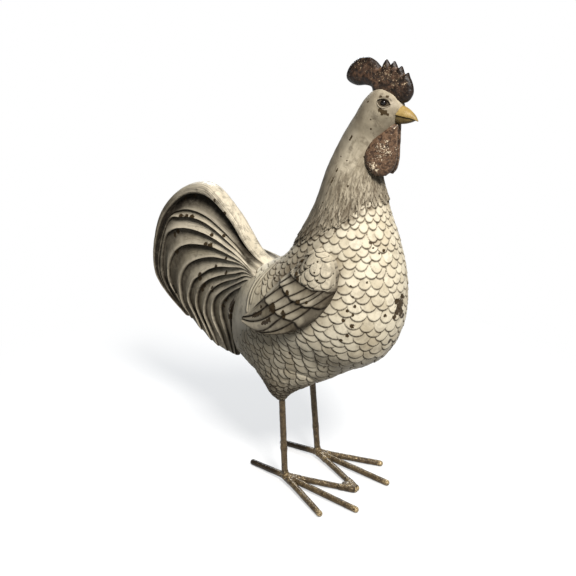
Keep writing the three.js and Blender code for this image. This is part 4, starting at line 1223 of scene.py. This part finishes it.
make_piece("carved_tail", tail_points, tail_faces, "tail_cream", "cream_paint", ["tail_fan"],
           both_sheets(marks))

# %% [markdown]
# The wings are relief castings laid on the flanks. Two curves, the upper and the lower edge, run
# from the shoulder to the tip, and every place of the wing has a length and a width between them.
# The shoulder has small round scales. Behind it three tiers of straight feathers, like planks,
# run together at the tip, and each tier ends in a step over the next.

# %% Wing tables
TIER_WIDTHS = [0, 0.14, 0.33, 0.45, 0.62, 0.73, 0.84, 1]
TIER_ENDS = np.array([
    [0.316, 0.312, 0.31, 0.312, 0.318, 0.312, 0.296, 0.293],
    [0.442, 0.444, 0.449, 0.453, 0.44, 0.432, 0.409, 0.39],
    [0.588, 0.602, 0.60, 0.602, 0.592, 0.572, 0.562, 0.585],
])
WING_REACH = 160
# For each tier: the widths of its cuts at its front end, at its rear end, and how late they bend
PLANKS = [
    ([-0.02, 0.13, 0.282, 0.568, 0.768, 0.874, 1.02],
     [-0.03, 0.07, 0.157, 0.387, 0.543, 0.643, 0.824], 1),
    ([-0.02, 0.142, 0.342, 0.518, 0.698, 0.824], [-0.03, 0.081, 0.257, 0.412, 0.583, 0.774], 1),
    ([-0.02, 0.06, 0.227, 0.437, 0.608, 0.804], [-0.4, -0.3, 0.15, 0.44, 1.3, 1.1], 2),
]


def wing_place(length, width):
    """The place in the side view of a length and a width on the wing."""
    return mix(along(WING_UPPER, length * 7), along(WING_LOWER, length * 7), width[..., None])

# %% Tiers and planks of the wing
WING_ROWS, WING_COLUMNS = ((250, 165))
wing_length = np.linspace(0, 1, WING_ROWS)[:, None] + np.zeros((1, WING_COLUMNS))
wing_width = np.zeros((WING_ROWS, 1)) + np.linspace(0, 1, WING_COLUMNS)[None]
ends = np.stack([np.interp(wing_width, TIER_WIDTHS, row) for row in TIER_ENDS])
chord = np.linalg.norm(along(WING_LOWER, wing_length * 7) - along(WING_UPPER, wing_length * 7), axis=-1)
starts = np.concatenate([np.zeros((1, *wing_length.shape)), ends])
stops = np.concatenate([ends, np.ones((1, *wing_length.shape))])
tier = (wing_length[None] > ends).sum(0)
plank_across, plank_number = np.zeros(wing_length.shape), np.zeros(wing_length.shape)
cut_gap = np.full(wing_length.shape, 99.0)
for t, (front_cuts, rear_cuts, bend) in enumerate(PLANKS, 1):
    reach = np.clip((wing_length - starts[t]) / (stops[t] - starts[t]), 0, 1) ** bend
    cuts = mix(np.array(front_cuts)[:, None, None], np.array(rear_cuts)[:, None, None], reach[None])
    cuts = np.concatenate([np.maximum.accumulate(cuts, axis=0), np.full((1, *reach.shape), 1.6)])
    number = np.clip((cuts <= wing_width[None]).sum(0) - 1, 0, len(cuts) - 2)
    low, high = (np.take_along_axis(cuts, (number + step)[None], 0)[0] for step in (0, 1))
    high = np.where(number == len(cuts) - 2, 1.02, high)
    here = tier == t
    plank_across = np.where(here, (wing_width - low) / np.maximum(high - low, 0.02), plank_across)
    plank_number = np.where(here, number + 10 * t, plank_number)
    cut_gap = np.where(here, np.minimum(wing_width - low, high - wing_width) * chord, cut_gap)
start, stop = (np.take_along_axis(edge, tier[None], 0)[0] for edge in (starts, stops))
along_tier = np.clip((wing_length - start) / (stop - start), 0, 1.05)
print("planks on each wing:", sum(len(front_cuts) for front_cuts, _, _ in PLANKS))

# %% The relief of the wing
plank_relief = 0.5 * plank_across + 1.7 * (1 - np.abs(2 * np.clip(plank_across, 0, 1) - 1) ** 2.2)
tier_relief = np.where(tier == 0, 1.6, np.where(tier == 3, 1.4 - 1.0 * along_tier, 0.2 + 1.8 * along_tier))
shoulder = 4.5 * swell(wing_length - 0.17, 0.17) * np.sin(np.pi * wing_width)
relief = (2.2 + 5.5 * wing_width ** 0.7) * (1 - 0.4 * wing_length) + shoulder
relief = relief + tier_relief + np.where(tier > 0, plank_relief, 0.6)
lower_edge = quarter_round((1 - wing_width) / 0.06)
upper_blend = mix(0.26, 0.10, ease(0.12, 0.34, wing_length))
soft_rim = np.clip((wing_width + 0.01) / upper_blend, 0, 1) ** 0.8 * ease(-0.02, 0.10, wing_length)
relief = mix(-1.2, relief, soft_rim * mix(0.35, 1, lower_edge) * np.where(wing_width >= 1, 0, 1))
place = wing_place(wing_length, wing_width)
wing_out = flank(place[..., 0], place[..., 1])
print("wing relief up to", round(float(relief.max()), 1), "mm")

# %% The scales of the shoulder
base = np.stack([place[..., 0], -(wing_out + relief), place[..., 1]], -1)
wing_sheet = sheet_faces(WING_ROWS, WING_COLUMNS)
base_up = point_normals(listed(base), wing_sheet).reshape(base.shape)
base_up = base_up * np.sign(-base_up[..., 1:2])
# Scatter of the direction, length, half width and height
SMOOTH_SCALE, ROUGH_SCALE = (0.08, 13.5, 7.4, 1.8), (0.3, 10, 4.4, 2.6)
scales = []
for row, high in enumerate(np.arange(232, 150, -6.6)):
    for forward in np.arange(6, 98, 12.5):
        spot = np.array([forward + 6.25 * (row % 2), high]) + dice.normal(0, 0.7, 2)
        gap = np.hypot(place[..., 0] - spot[0], place[..., 1] - spot[1])
        i, j = np.unravel_index(gap.argmin(), gap.shape)
        if gap[i, j] > 7 or wing_length[i, j] > 0.31:
            continue
        rough_patch = wing_width[i, j] < 0.34 and wing_length[i, j] > 0.08
        scatter, length, half, lift = ROUGH_SCALE if rough_patch else SMOOTH_SCALE
        root = [spot[0], base[i, j, 1], spot[1]]
        flow = [-0.3 + dice.normal(0, scatter), 0, -1]
        length, half = length * dice.uniform(0.9, 1.1), half * dice.uniform(0.9, 1.1)
        scales.append((root, flow, base_up[i, j], length, half, lift * dice.uniform(0.85, 1.2)))
shoulder_bed = bed_of(*(np.array(values) for values in zip(*scales)))
thickness, scale_line, _ = lay_feathers(listed(base), shoulder_bed, near=7, soft=0.8)
on_shoulder = (ease(0.004, -0.012, wing_length - ends[0]) * ease(0, 0.05, wing_width + 0.02)).ravel()
relief = relief + ((thickness - 0.9) * on_shoulder).reshape(relief.shape)
relief = relief + dents(listed(base), 7, 0.3).reshape(relief.shape)
print("scales on each shoulder:", len(scales))

# %% Marks of the wing
tier_gap = np.abs(wing_length[None] - ends).min(0) * WING_REACH
wing_line = np.minimum(1.4 * np.maximum(swell(cut_gap, 1.25), swell(tier_gap, 1.5)), 1)
behind_shoulder = tier > 0
across_plank = np.clip(plank_across, 0, 1)
# Painted shade after each tier's step, below each cut, along the lower edge, at the front and at the tip,
# with a dark patch high on the shoulder.
after_step = np.exp(-np.clip(wing_length - start, 0, 1) * WING_REACH / 5.0)
below_cut = np.exp(-across_plank * 3.2)
wing_shade = 0.16 + 0.9 * after_step + 0.6 * below_cut
wing_shade = wing_shade + 0.45 * ease(0.74, 0.9, wing_width) * ease(0.7, 0.45, wing_length)
wing_shade = wing_shade * behind_shoulder + 0.3 * ease(0.88, 1, wing_width)
patch = ((wing_length - 0.22) / 0.09) ** 2 + ((wing_width - 0.12) / 0.16) ** 2
wing_shade = wing_shade + 0.85 * np.exp(-patch) + 0.2 * swell(wing_length - 0.02, 0.05)
wing_shade = wing_shade + 0.5 * ease(0.8, 1.0, wing_length)
# A painted highlight along the middle of each plank, towards its rear end, laid into the ridge mark.
plank_highlight = ease(0.15, 0.85, along_tier) * (1 - np.abs(2 * across_plank - 1) ** 3)
plank_highlight = plank_highlight * behind_shoulder * ease(0.95, 0.7, wing_width)
WING_CHIPS = np.array([
    [0.585, 0.33, 5.94], [0.60, 0.38, 5.4], [0.43, 0.33, 3.51], [0.56, 0.56, 4.05], [0.58, 0.62, 3.51],
    [0.70, 0.27, 3.375], [0.725, 0.262, 3.645], [0.75, 0.25, 3.78], [0.775, 0.24, 3.375], [0.80, 0.23, 2.97],
    [0.66, 0.16, 2.7], [0.68, 0.515, 2.97], [0.705, 0.525, 3.24], [0.73, 0.53, 3.24], [0.755, 0.54, 2.7],
    [0.43, 0.60, 2.97], [0.40, 0.72, 2.43], [0.30, 0.30, 4.05], [0.27, 0.20, 4.05], [0.23, 0.14, 3.51],
    [0.18, 0.24, 2.7], [0.20, 0.10, 3.24], [0.15, 0.16, 2.43], [0.12, 0.55, 1.35], [0.2, 0.6, 1.35],
    [0.24, 0.7, 1.35],
])
chip_rows = np.rint(WING_CHIPS[:, 0] * (WING_ROWS - 1)).astype(int)
chip_columns = np.rint(WING_CHIPS[:, 1] * (WING_COLUMNS - 1)).astype(int)
print("chips on each wing:", len(WING_CHIPS))

# %% Both wings
for side, word in ((1, "left"), (-1, "right")):
    front = np.stack([place[..., 0], side * (wing_out + relief), place[..., 1]], -1)
    back = np.stack([place[..., 0], side * (wing_out - 2.5), place[..., 1]], -1)
    front[:, -1] = mix(back[:, -1], front[:, -1], 0.4)
    front[:, 0] = mix(back[:, 0], front[:, 0], 0.4)
    marks = ridges_and_hollows(listed(front), wing_sheet, height=0.3, depth=0.8)
    marks["line"] = np.maximum(wing_line.ravel() * (1 - on_shoulder), scale_line * on_shoulder)
    add_wash_and_shade(marks, wing_shade.ravel())
    marks["ridge"] = np.clip(marks["ridge"] + plank_highlight.ravel(), 0, 1)
    marks["tone"] = ((plank_number * 0.371) % 1).ravel()
    marks["lay"] = listed(np.stack([wing_width * 75, wing_length * WING_REACH, 0 * wing_width], -1))
    marks["spot"] = spots(listed(front), front[chip_rows, chip_columns], WING_CHIPS[:, 2])
    make_piece(f"carved_wing_{word}", *slab(front, back), "wing_cream", "cream_paint", [f"wing_{word}"],
               both_sheets(marks))

# %% [markdown]
# The comb and the wattles are flat castings with soft round edges. An outline is filled with an
# even net of triangles, and every point is pushed out by how far it lies from the outline, so the
# plate swells like a cushion of clay. Bumps and dents make the skin of the comb.

# %% Puffed plates
def closed_curve(corners, count):
    """Evenly spaced points on a smooth closed curve through the corners."""
    corners = np.asarray(corners, float)
    looped = np.concatenate([corners[-2:], corners, corners[:3]])
    fine = along(looped, np.linspace(2, len(corners) + 2, 1200))
    arc = np.concatenate([[0], np.cumsum(np.linalg.norm(np.diff(fine, axis=0), axis=1))])
    places = np.linspace(0, arc[-1], count, endpoint=False)
    return np.stack([np.interp(places, arc, fine[:, axis]) for axis in range(2)], -1)


def edge_distance(points, outline):
    """Distance of every point from an outline, and whether it lies inside."""
    start, end = outline[None], np.roll(outline, -1, 0)[None]
    line = end - start
    share = np.clip(((points[:, None] - start) * line).sum(-1) / (line ** 2).sum(-1), 0, 1)
    gap = np.linalg.norm(points[:, None] - (start + line * share[..., None]), axis=-1).min(1)
    x, y = points[:, :1], points[:, 1:]
    crosses = (start[..., 1] > y) != (end[..., 1] > y)
    rise = np.where(line[..., 1] == 0, 1e-9, line[..., 1])
    where = start[..., 0] + (y - start[..., 1]) / rise * line[..., 0]
    return gap, (crosses & (x < where)).sum(1) % 2 == 1


RIM_INSETS = (0.12, 0.4, 0.9, 1.6)
NET_SPACING = 0.85


def puffed_plate(outline, depth, roll):
    """Flat places, half thickness and faces of a plate that swells from its outline."""
    tangent = np.roll(outline, -1, 0) - np.roll(outline, 1, 0)
    inward = np.stack([-tangent[:, 1], tangent[:, 0]], -1) / np.linalg.norm(tangent, axis=1)[:, None]
    low, high = outline.min(0), outline.max(0)
    grid = np.meshgrid(*(np.arange(low[axis], high[axis], NET_SPACING) for axis in range(2)))
    candidates = [(outline + inward * sign * inset, inset * 0.85) for inset in RIM_INSETS for sign in (1, -1)]
    candidates.append((np.stack(grid, -1).reshape(-1, 2), 2.1))
    kept = [outline]
    for places, least in candidates:
        gap, inside = edge_distance(places, outline)
        kept.append(places[inside & (gap > least)])
    flat = np.concatenate(kept)
    count = len(outline)
    loop = [(i, (i + 1) % count) for i in range(count)]
    found = geometry.delaunay_2d_cdt([Vector(place) for place in flat], loop, [list(range(count))], 1, 1e-6)
    flat = np.array([tuple(place) for place in found[0]])
    triangles = np.array(found[2])
    gap, _ = edge_distance(flat, outline)
    on_edge = gap < 1e-3
    triangles = triangles[~on_edge[triangles].all(1)]
    behind = np.arange(len(flat))
    behind[~on_edge] = len(flat) + np.arange((~on_edge).sum())
    faces = np.concatenate([triangles, behind[triangles][:, ::-1]])
    print("plate:", len(faces), "faces")
    return flat, depth * quarter_round(gap / roll), faces, ~on_edge, gap

# %% Comb
CROWN = np.array([102, 383])
COMB_OUTLINE = CROWN + np.array([
    [-46, 10], [-42, 20], [-32, 28], [-20, 30], [-11.5, 27], [-6, 22.5], [-3.8, 20.8], [-1.8, 25],
    [1.3, 28.7], [4, 26], [5.8, 23.6], [7.4, 25], [10.3, 27.4], [12.6, 24.4], [14.4, 21.2], [16, 21.6],
    [18.6, 22.9], [20.4, 20], [22, 15.8], [24, 16], [26.4, 16.8], [28.2, 12.5], [30, 9.5], [32.2, 4],
    [32.8, -3], [29, -10], [23, -13], [12, -13], [-2, -11], [-12, -9], [-14, 0], [-22, 2], [-32, 1], [-42, 4],
])
COMB_RUBS = np.array([
    [108, -5, 398, 8], [117, -5, 392, 7], [98, -5, 396, 5], [127, -5, 390, 5],
    [76, -5, 408, 7], [66, -5, 409, 6], [88, -5, 404, 6], [103, -4, 407, 4],
])
flat, half, faces, inner, gap = puffed_plate(closed_curve(COMB_OUTLINE, 330), 5.0, 6.5)
lobe = np.exp(-((flat - [70, 398]) ** 2 / [16 ** 2, 11 ** 2]).sum(1))
solid = np.stack([flat[:, 0], 0 * flat[:, 0], flat[:, 1]], -1)
skin_noise = dents(solid, 5.0, 0.9) + dents(solid + 40, 2.4, 0.45)
half = np.where(inner, half * (1 + 0.1 * lobe) + skin_noise * ease(0.2, 2.5, gap), 0)
half = half * mix(0.82, 1, ease(408, 396, flat[:, 1]))
wave = 0.9 * np.sin(flat[:, 0] / 17)
front = np.stack([flat[:, 0], wave - half, flat[:, 1]], -1)
back = np.stack([flat[:, 0], wave + half, flat[:, 1]], -1)[inner]
comb_points = np.concatenate([front, back])
marks = ridges_and_hollows(comb_points, faces, fine=5, broad=30, height=0.5, depth=0.7)
# Painted shade low on the front of the comb, where it meets the head.
add_wash_and_shade(marks, 0.6 * ease(386, 380, comb_points[:, 2]) * ease(84, 92, comb_points[:, 0]))
marks["spot"] = 0.45 * spots(comb_points, COMB_RUBS[:, :3], COMB_RUBS[:, 3])
make_piece("cast_comb", comb_points, faces, "comb_brown", "comb_paint", ["comb"], marks)

# %% Wattles
WATTLE_ROWS = np.array([
    [349, 0, 5], [342, 0, 8.5], [332, 0, 13], [320, 0, 16.3], [309, 0.8, 16], [300.5, 4.5, 12],
    [295, 11, 5.5],
], float)
# Rubbed places: how far back, how high, and how large
WATTLE_RUBS = np.array([[15, 325, 7], [11, 320, 5], [18, 315, 5], [22, 305, 6], [12, 331, 4]], float)
SPLAY = math.radians(29)
rows = along(WATTLE_ROWS, np.linspace(0, 6, 25))
outline = np.concatenate([np.stack([rows[:, 1], rows[:, 0]], -1),
                          np.stack([rows[:, 1] + 2 * rows[:, 2], rows[:, 0]], -1)[::-1]])
flat, half, faces, inner, gap = puffed_plate(closed_curve(outline, 230), 4.4, 9.0)
for side, word in ((1, "left"), (-1, "right")):
    chord = np.array([-math.cos(SPLAY), side * math.sin(SPLAY), 0])
    out = np.array([math.sin(SPLAY), side * math.cos(SPLAY), 0])
    start = np.array([121.3, side * 1.6, 0])
    middle = start + chord * flat[:, :1] + [0, 0, 1] * flat[:, 1:]
    lumps = dents(middle, 6, 0.7) + dents(middle, 2.5, 0.25)
    thick = np.where(inner, half + lumps * ease(0.3, 3, gap), 0)[:, None]
    inside_thick = np.where(inner, 0.9 * half, 0)[:, None]
    wattle_points = np.concatenate([middle + out * thick, (middle - out * inside_thick)[inner]])
    marks = ridges_and_hollows(wattle_points, faces, fine=5, broad=30, height=0.5, depth=0.8)
    # Painted shade on the inner face, towards the other wattle.
    add_wash_and_shade(marks, 0.6 * (np.arange(len(wattle_points)) >= len(flat)))
    rubs = start + chord * WATTLE_RUBS[:, :1] + out * 4
    rubs[:, 2] = WATTLE_RUBS[:, 1]
    marks["spot"] = spots(wattle_points, rubs, WATTLE_RUBS[:, 2]) * (0.62 if side < 0 else 0.4)
    make_piece(f"cast_wattle_{word}", wattle_points, faces, "wattle_brown", "comb_paint",
               [f"wattle_{word}"], marks)

# %% [markdown]
# The beak is closed: two half-round castings that meet at the mouth line. Each is a stack of half
# rings from the head to the tip, with a nostril pressed into the upper one. The eyes are beads.

# %% Beak
# Place, mouth height, then depth and half width of the upper casting and of the lower one
BEAK_ROWS = np.array([
    [112, 359.5, 9, 7.5, 8, 6.5], [121, 358.4, 9.8, 8.6, 9, 7.6], [129, 357.3, 8.8, 7.2, 7.2, 6],
    [135.5, 356.2, 5.8, 4.8, 4.2, 3.8], [139.4, 355.1, 3.4, 2.9, 1.4, 1.6], [142.4, 353.2, 1, 0.9, 0.3, 0.3],
])
NOSTRILS = np.array([[121.5, -7.4, 363], [121.5, 7.4, 363]])
angle = np.linspace(0, np.pi, 48)[None]
flat_share = np.linspace(-1, 1, 16)[None, 1:-1]
for up, word in ((1, "upper"), (-1, "lower")):
    rows = along(BEAK_ROWS, np.linspace(0, 5 if up > 0 else 4, 90))
    depth, half_width = (rows[:, 2:3], rows[:, 3:4]) if up > 0 else (rows[:, 4:5], rows[:, 5:6])
    mouth = rows[:, 1:2] - (0.3 if up < 0 else 0)
    ring_y = np.concatenate([half_width * np.cos(angle), half_width * flat_share], 1)
    ring_z = np.concatenate([mouth + up * depth * np.sin(angle) ** 0.9, mouth + 0 * flat_share], 1)
    rings = np.stack([rows[:, :1] + 0 * ring_y, ring_y, ring_z], -1)
    shell = listed(rings)
    nostril = spots(shell, NOSTRILS, [1.5, 1.5]) * (up > 0)
    shell = shell + dents(shell, 4, 0.15)[:, None] * [0, 1, 1]
    shell[:, 1] -= np.sign(shell[:, 1]) * 0.9 * nostril
    beak_points, beak_faces = closed_rings(shell.reshape(rings.shape))
    marks = ridges_and_hollows(shell, ring_faces(*rings.shape[:2]), height=0.5, depth=1.2)
    from_mouth = np.abs(shell[:, 2] - np.repeat(mouth[:, 0], rings.shape[1]))
    marks["line"] = np.clip(swell(from_mouth, 0.6) + nostril, 0, 1) * 0.9
    # The tip is darker, the lower casting under the upper one gets painted shade, and the beak is darker
    # towards the head.
    dark_tip_and_shade = ease(134, 142, shell[:, 0]) * 0.55 + (0.85 if up < 0 else 0)
    add_wash_and_shade(marks, dark_tip_and_shade + 0.4 * ease(124, 117, shell[:, 0]), 0.5)
    make_piece(f"cast_beak_{word}", beak_points, beak_faces, "beak_ochre", "beak_paint",
               [f"beak_{word}"], marks)

# %% Eyes
def ball_skin(centre, size, rows, columns, pole):
    """A closed ball or egg."""
    fall = np.linspace(pole, np.pi - pole, rows)[:, None]
    turn = circle(columns)
    ball = np.stack([np.sin(fall) * np.cos(turn), np.sin(fall) * np.sin(turn), np.cos(fall) + 0 * turn], -1)
    return closed_rings(np.asarray(centre) + ball * size)


EYE_RADIUS, EYE_SUNK = 3.1, 1.085
for side, word in ((1, "left"), (-1, "right")):
    centre = np.array([EYE[0], side * (float(flank(EYE[0], EYE[1])) - EYE_SUNK), EYE[1]])
    bead_points, bead_faces = ball_skin(centre, EYE_RADIUS, 28, 40, 0.02)
    make_piece(f"bead_eye_{word}", bead_points, bead_faces, "eye_black", "eye_bead", [f"eye_{word}"])

# %% [markdown]
# The legs and toes are round iron rod with the marks of hammer and torch on it. Each rod is a
# tube with a slightly uneven skin and round ends. Where the toes meet, the weld is one lump: the
# stubs of all the rods are joined by a remesh, and the joint is smoothed until it flows.

# %% The skin of a rod
ROD, HUB, ANKLE_SPACING = 4.0, 7.6, 35.3
SOLE = 0.02 - LEG


def rod_skin(start, end, radius, tip_radius=None, sides=32):
    """A tube with round ends between two points."""
    start, end = np.asarray(start, float), np.asarray(end, float)
    tip_radius = radius if tip_radius is None else tip_radius
    length = np.linalg.norm(end - start)
    direction = (end - start) / length
    across = np.cross(direction, [0, 1, 0] if abs(direction[1]) < 0.8 else [1, 0, 0])
    across /= np.linalg.norm(across)
    other = np.cross(direction, across)
    cap = np.sin(np.linspace(0.06, np.pi / 2, 7))
    places = np.concatenate([radius - radius * cap[::-1], np.arange(radius, length - tip_radius, 1.3),
                             length - tip_radius + tip_radius * np.sqrt(1 - cap[::-1] ** 2)])
    places = np.sort(np.unique(places.round(4)))
    size = mix(radius, tip_radius, places / length)
    from_end = np.minimum(places / radius, (length - places) / tip_radius)
    size = size * quarter_round(from_end, 0.01)
    turn = circle(sides)[None]
    ring = across * np.cos(turn)[..., None] + other * np.sin(turn)[..., None]
    rings = start + direction * places[:, None, None] + ring * size[:, None, None]
    rough = dents(listed(rings), 9, 0.2) + dents(listed(rings) + 50, 2.6, 0.13)
    return rings + ring * (rough.reshape(rings.shape[:2]) * (size[:, None] / radius))[..., None]

# %% Legs and toes
def iron_piece(name, rings, node, tip=None):
    """A rod as a piece, rubbed on the lower leg, or rubbed on the tip of a toe and given a painted highlight
    on its top, with painted shade under a toe and a painted shadow on a rear toe.
    """
    shell = listed(rings)
    shell[:, 2] = np.maximum(shell[:, 2], SOLE)
    points, faces = closed_rings(shell.reshape(rings.shape))
    marks = ridges_and_hollows(shell, ring_faces(*rings.shape[:2]), fine=6, broad=40, height=0.5, depth=0.9)
    # Painted shade on the underside of a toe.
    under = ease(0.1, -0.8, (rings[..., 2] - rings[..., 2].mean(1, keepdims=True)) / ROD).ravel()
    add_wash_and_shade(marks, 0.4 if tip is None else 0.4 + 0.4 * under, 0.5)
    # A painted shadow of the body on a rear toe, which gets no rubbing.
    marks["line"] = 0.96 * ease(0, 22, np.linalg.norm(shell - shell[0], axis=1)) * ("rear" in name)
    worn_and_lit = 0.25 * ease(-60, -98, shell[:, 2])
    if tip is not None:
        # The tip is rubbed; the top of a front toe is rubbed and carries a painted highlight.
        worn_and_lit = (spots(shell, [tip], [9]) + 0.4 * ease(-104, -99, shell[:, 2])) * ("rear" not in name)
    marks["spot"] = np.clip(worn_and_lit, 0, 1)
    make_piece(name, points, faces, "iron_bronze", "iron_rod", [node], marks)


INNER_ANGLE = math.degrees(math.asin((ANKLE_SPACING - 0.5) / 94))
# Length of a toe, its direction in degrees, and how far it spreads outward
TOES = {"middle": (111, 0, 0), "inner": (94, 0, -INNER_ANGLE), "outer": (88, 0, 23), "rear": (60, 180, 4)}
toe_roots = {}
for side, word in ((1, "left"), (-1, "right")):
    ankle = np.array([0, side * ANKLE_SPACING, HUB - LEG])
    thigh = np.array([-THIGH_BACK, side * THIGH_SPACING, 0.0])
    upward = (thigh - ankle) / np.linalg.norm(thigh - ankle)
    rod = rod_skin(ankle + upward * 3, thigh + upward * 42, ROD)
    knot = 0.45 * swell(rod[..., 2:] + 62, 4)
    rod += (rod - rod.mean(1, keepdims=True)) / ROD * knot
    iron_piece(f"iron_leg_{word}", rod, f"leg_rod_{word}")
    for toe, (length, direction, spread) in TOES.items():
        turn = math.radians(direction + side * spread)
        slope = math.asin(4 / (length - ROD))
        heading = np.array([math.cos(turn) * math.cos(slope), math.sin(turn) * math.cos(slope),
                            -math.sin(slope)])
        tip = ankle + heading * length
        toe_roots[word, toe] = (ankle, heading)
        rings = rod_skin(ankle, tip, ROD * 1.02, ROD * 0.94)
        iron_piece(f"iron_toe_{toe}_{word}", rings, f"{word}_toe_{toe}", tip)
print("iron rods and toes:", 2 + len(toe_roots))

# %% Ankle welds
STUBS = {"middle": 20, "inner": 24, "outer": 22, "rear": 9}


def stub(start, end, start_radius=ROD + 0.3, end_radius=ROD + 0.1):
    """A short closed piece of rod, a little thicker than the rod itself."""
    return closed_rings(rod_skin(start, end, start_radius, end_radius, 24))


def weld_piece(name, skins, node, wear_and_highlight):
    """The given skins as one lump of weld."""
    points, faces = remeshed(skins, 0.7)
    points = relaxed(points, faces, np.full(len(points), 0.5), 14)
    up = point_normals(points, faces)
    points = points + up * (0.45 + dents(points, 5, 0.5) + dents(points, 2.2, 0.15))[:, None]
    points[:, 2] = np.maximum(points[:, 2], SOLE)
    marks = ridges_and_hollows(points, faces, fine=6, broad=40, height=0.5, depth=0.9)
    # The top of the weld is rubbed and carries a painted highlight.
    marks["spot"] = np.clip(wear_and_highlight * ease(-104, -98, points[:, 2]), 0, 1)
    make_piece(name, points, faces, "iron_bronze", "iron_rod", [node], marks)


for side, word in ((1, "left"), (-1, "right")):
    ankle = toe_roots[word, "middle"][0]
    skins = [ball_skin(ankle + [4, 0, 0], [9, 6.4, 4.6], 18, 28, 0.05)]
    for toe, reach in STUBS.items():
        skins.append(stub(ankle, ankle + toe_roots[word, toe][1] * reach))
    skins.append(stub(ankle, ankle + np.array([-0.5, 0, 11])))
    weld_piece(f"ankle_weld_lump_{word}", skins, f"ankle_weld_{word}", 0.6)

# %% The weld between the toes
tip_skins = []
for word in ("left", "right"):
    ankle, heading = toe_roots[word, "inner"]
    tip_skins.append(stub(ankle + heading * 66, ankle + heading * 93, ROD + 0.1, ROD))
meeting = (toe_roots["left", "inner"][0] + toe_roots["left", "inner"][1] * 78) * [1, 0, 1]
tip_skins.append(ball_skin(meeting, [9, 4.2, 3.6], 18, 28, 0.05))
weld_piece("tip_weld_lump", tip_skins, "toe_tip_weld", 0.9)

# %% [markdown]
# Inside the thighs the rods sit in steel sleeves that were put into the mould and cast in. Nobody
# sees them, so they keep the plain solids of the frame and only get a finish of bright steel.

# %% The sleeves inside the thighs
sleeves = [piece for node, piece in frame["nodes"].items() if node.startswith("leg_sleeve")]
for sleeve in sleeves:
    for slot in sleeve.material_slots:
        slot.material = finishes["sleeve_steel"]
print("steel sleeves:", len(sleeves))

# %% [markdown]
# The photograph was taken from the bird's right and a little above, against plain white. A big
# soft lamp stands to the right of the camera and high up. A weaker, bluish one behind on the left
# lights the back edges, and a dim room fills in the rest. The room looks white to the camera, and
# the floor is white to the camera and in reflections. To the light that bounces off it the floor
# is dark grey, so that the belly stays dark, as it does in the photograph.

# %% Camera
camera = bpy.data.objects.new("camera", bpy.data.cameras.new("camera"))
bpy.context.scene.collection.objects.link(camera)
camera.data.sensor_width = 36
camera.data.lens = 50
camera.location = (0.536 + frame_shift[0] / 1000, -0.720, 0.583)
yaw, pitch = math.radians(37.8), math.radians(20.3)
look = Vector((-math.sin(yaw) * math.cos(pitch), math.cos(yaw) * math.cos(pitch), -math.sin(pitch)))
camera.rotation_mode = "QUATERNION"
camera.rotation_quaternion = look.to_track_quat("-Z", "Y")
bpy.context.scene.camera = camera
print("camera looks along", [round(v, 3) for v in look])

# %% Floor
floor_mesh = bpy.data.meshes.new("floor")
floor_mesh.from_pydata([(-6, -6, 0), (6, -6, 0), (6, 6, 0), (-6, 6, 0)], [], [(0, 1, 2, 3)])
floor = bpy.data.objects.new("floor", floor_mesh)
bpy.context.scene.collection.objects.link(floor)
floor_paint = bpy.data.materials.new("floor_paint")
floor_paint.use_nodes = True
tree = floor_paint.node_tree
shader = tree.nodes["Principled BSDF"]
shader.inputs["Roughness"].default_value = 0.9
shader.inputs["Specular IOR Level"].default_value = 0.0
rays = tree.nodes.new("ShaderNodeLightPath").outputs
seen = calc(tree, "MAXIMUM", rays["Is Camera Ray"], rays["Is Glossy Ray"])
seen = calc(tree, "MAXIMUM", seen, rays["Is Transmission Ray"])
floor_colour = blend_colour(tree, seen, (0.11, 0.105, 0.10, 1), (0.93, 0.93, 0.93, 1))
tree.links.new(floor_colour, shader.inputs["Base Color"])
glow = place_node(tree, "ShaderNodeEmission", {"Color": (1, 1, 1, 1), "Strength": 1.0})
centre = place_node(tree, "ShaderNodeVectorMath", {0: tree.nodes.new("ShaderNodeTexCoord").outputs["Object"]},
                    operation="LENGTH").outputs["Value"]
open_floor = plus(tree, 0.6, times(tree, step_up(tree, centre, 0.25, 0.6), 0.4))
far = times(tree, open_floor, seen)
both = place_node(tree, "ShaderNodeMixShader", {0: far, 1: shader.outputs[0], 2: glow.outputs[0]})
tree.links.new(both.outputs[0], tree.nodes["Material Output"].inputs["Surface"])
floor_mesh.materials.append(floor_paint)
print("floor paint has", len(tree.nodes), "nodes")

# %% Room and lamps
world = bpy.data.worlds.new("studio")
bpy.context.scene.world = world
world.use_nodes = True
tree = world.node_tree
rays = tree.nodes.new("ShaderNodeLightPath").outputs
seen = calc(tree, "MAXIMUM", rays["Is Camera Ray"], rays["Is Transmission Ray"])
room = tree.nodes["Background"]
room.inputs["Color"].default_value = (0.88, 0.94, 1, 1)
room.inputs["Strength"].default_value = 0.15
white = place_node(tree, "ShaderNodeBackground", {"Color": (1, 1, 1, 1), "Strength": 1.0})
both = place_node(tree, "ShaderNodeMixShader", {0: seen, 1: room.outputs[0], 2: white.outputs[0]})
tree.links.new(both.outputs[0], tree.nodes["World Output"].inputs["Surface"])
bpy.context.scene.view_settings.view_transform = "Standard"


def soft_lamp(name, place, target, size, power, colour):
    """A round lamp that faces its target."""
    lamp = bpy.data.lights.new(name, "AREA")
    lamp.shape = "DISK"
    lamp.size = size
    lamp.energy = power
    lamp.color = colour
    holder = bpy.data.objects.new(name, lamp)
    bpy.context.scene.collection.objects.link(holder)
    holder.location = place
    holder.rotation_mode = "QUATERNION"
    holder.rotation_quaternion = (Vector(target) - Vector(place)).to_track_quat("-Z", "Y")
    print(name, "at", place)


soft_lamp("rim", (-1.1, 1.25, 1.2), (0, 0, 0.3), 0.7, 25, (0.85, 0.92, 1))
soft_lamp("key", (1.25, -0.72, 1.75), (0.05, 0, 0.27), 0.6, 64, (1, 0.97, 0.93))
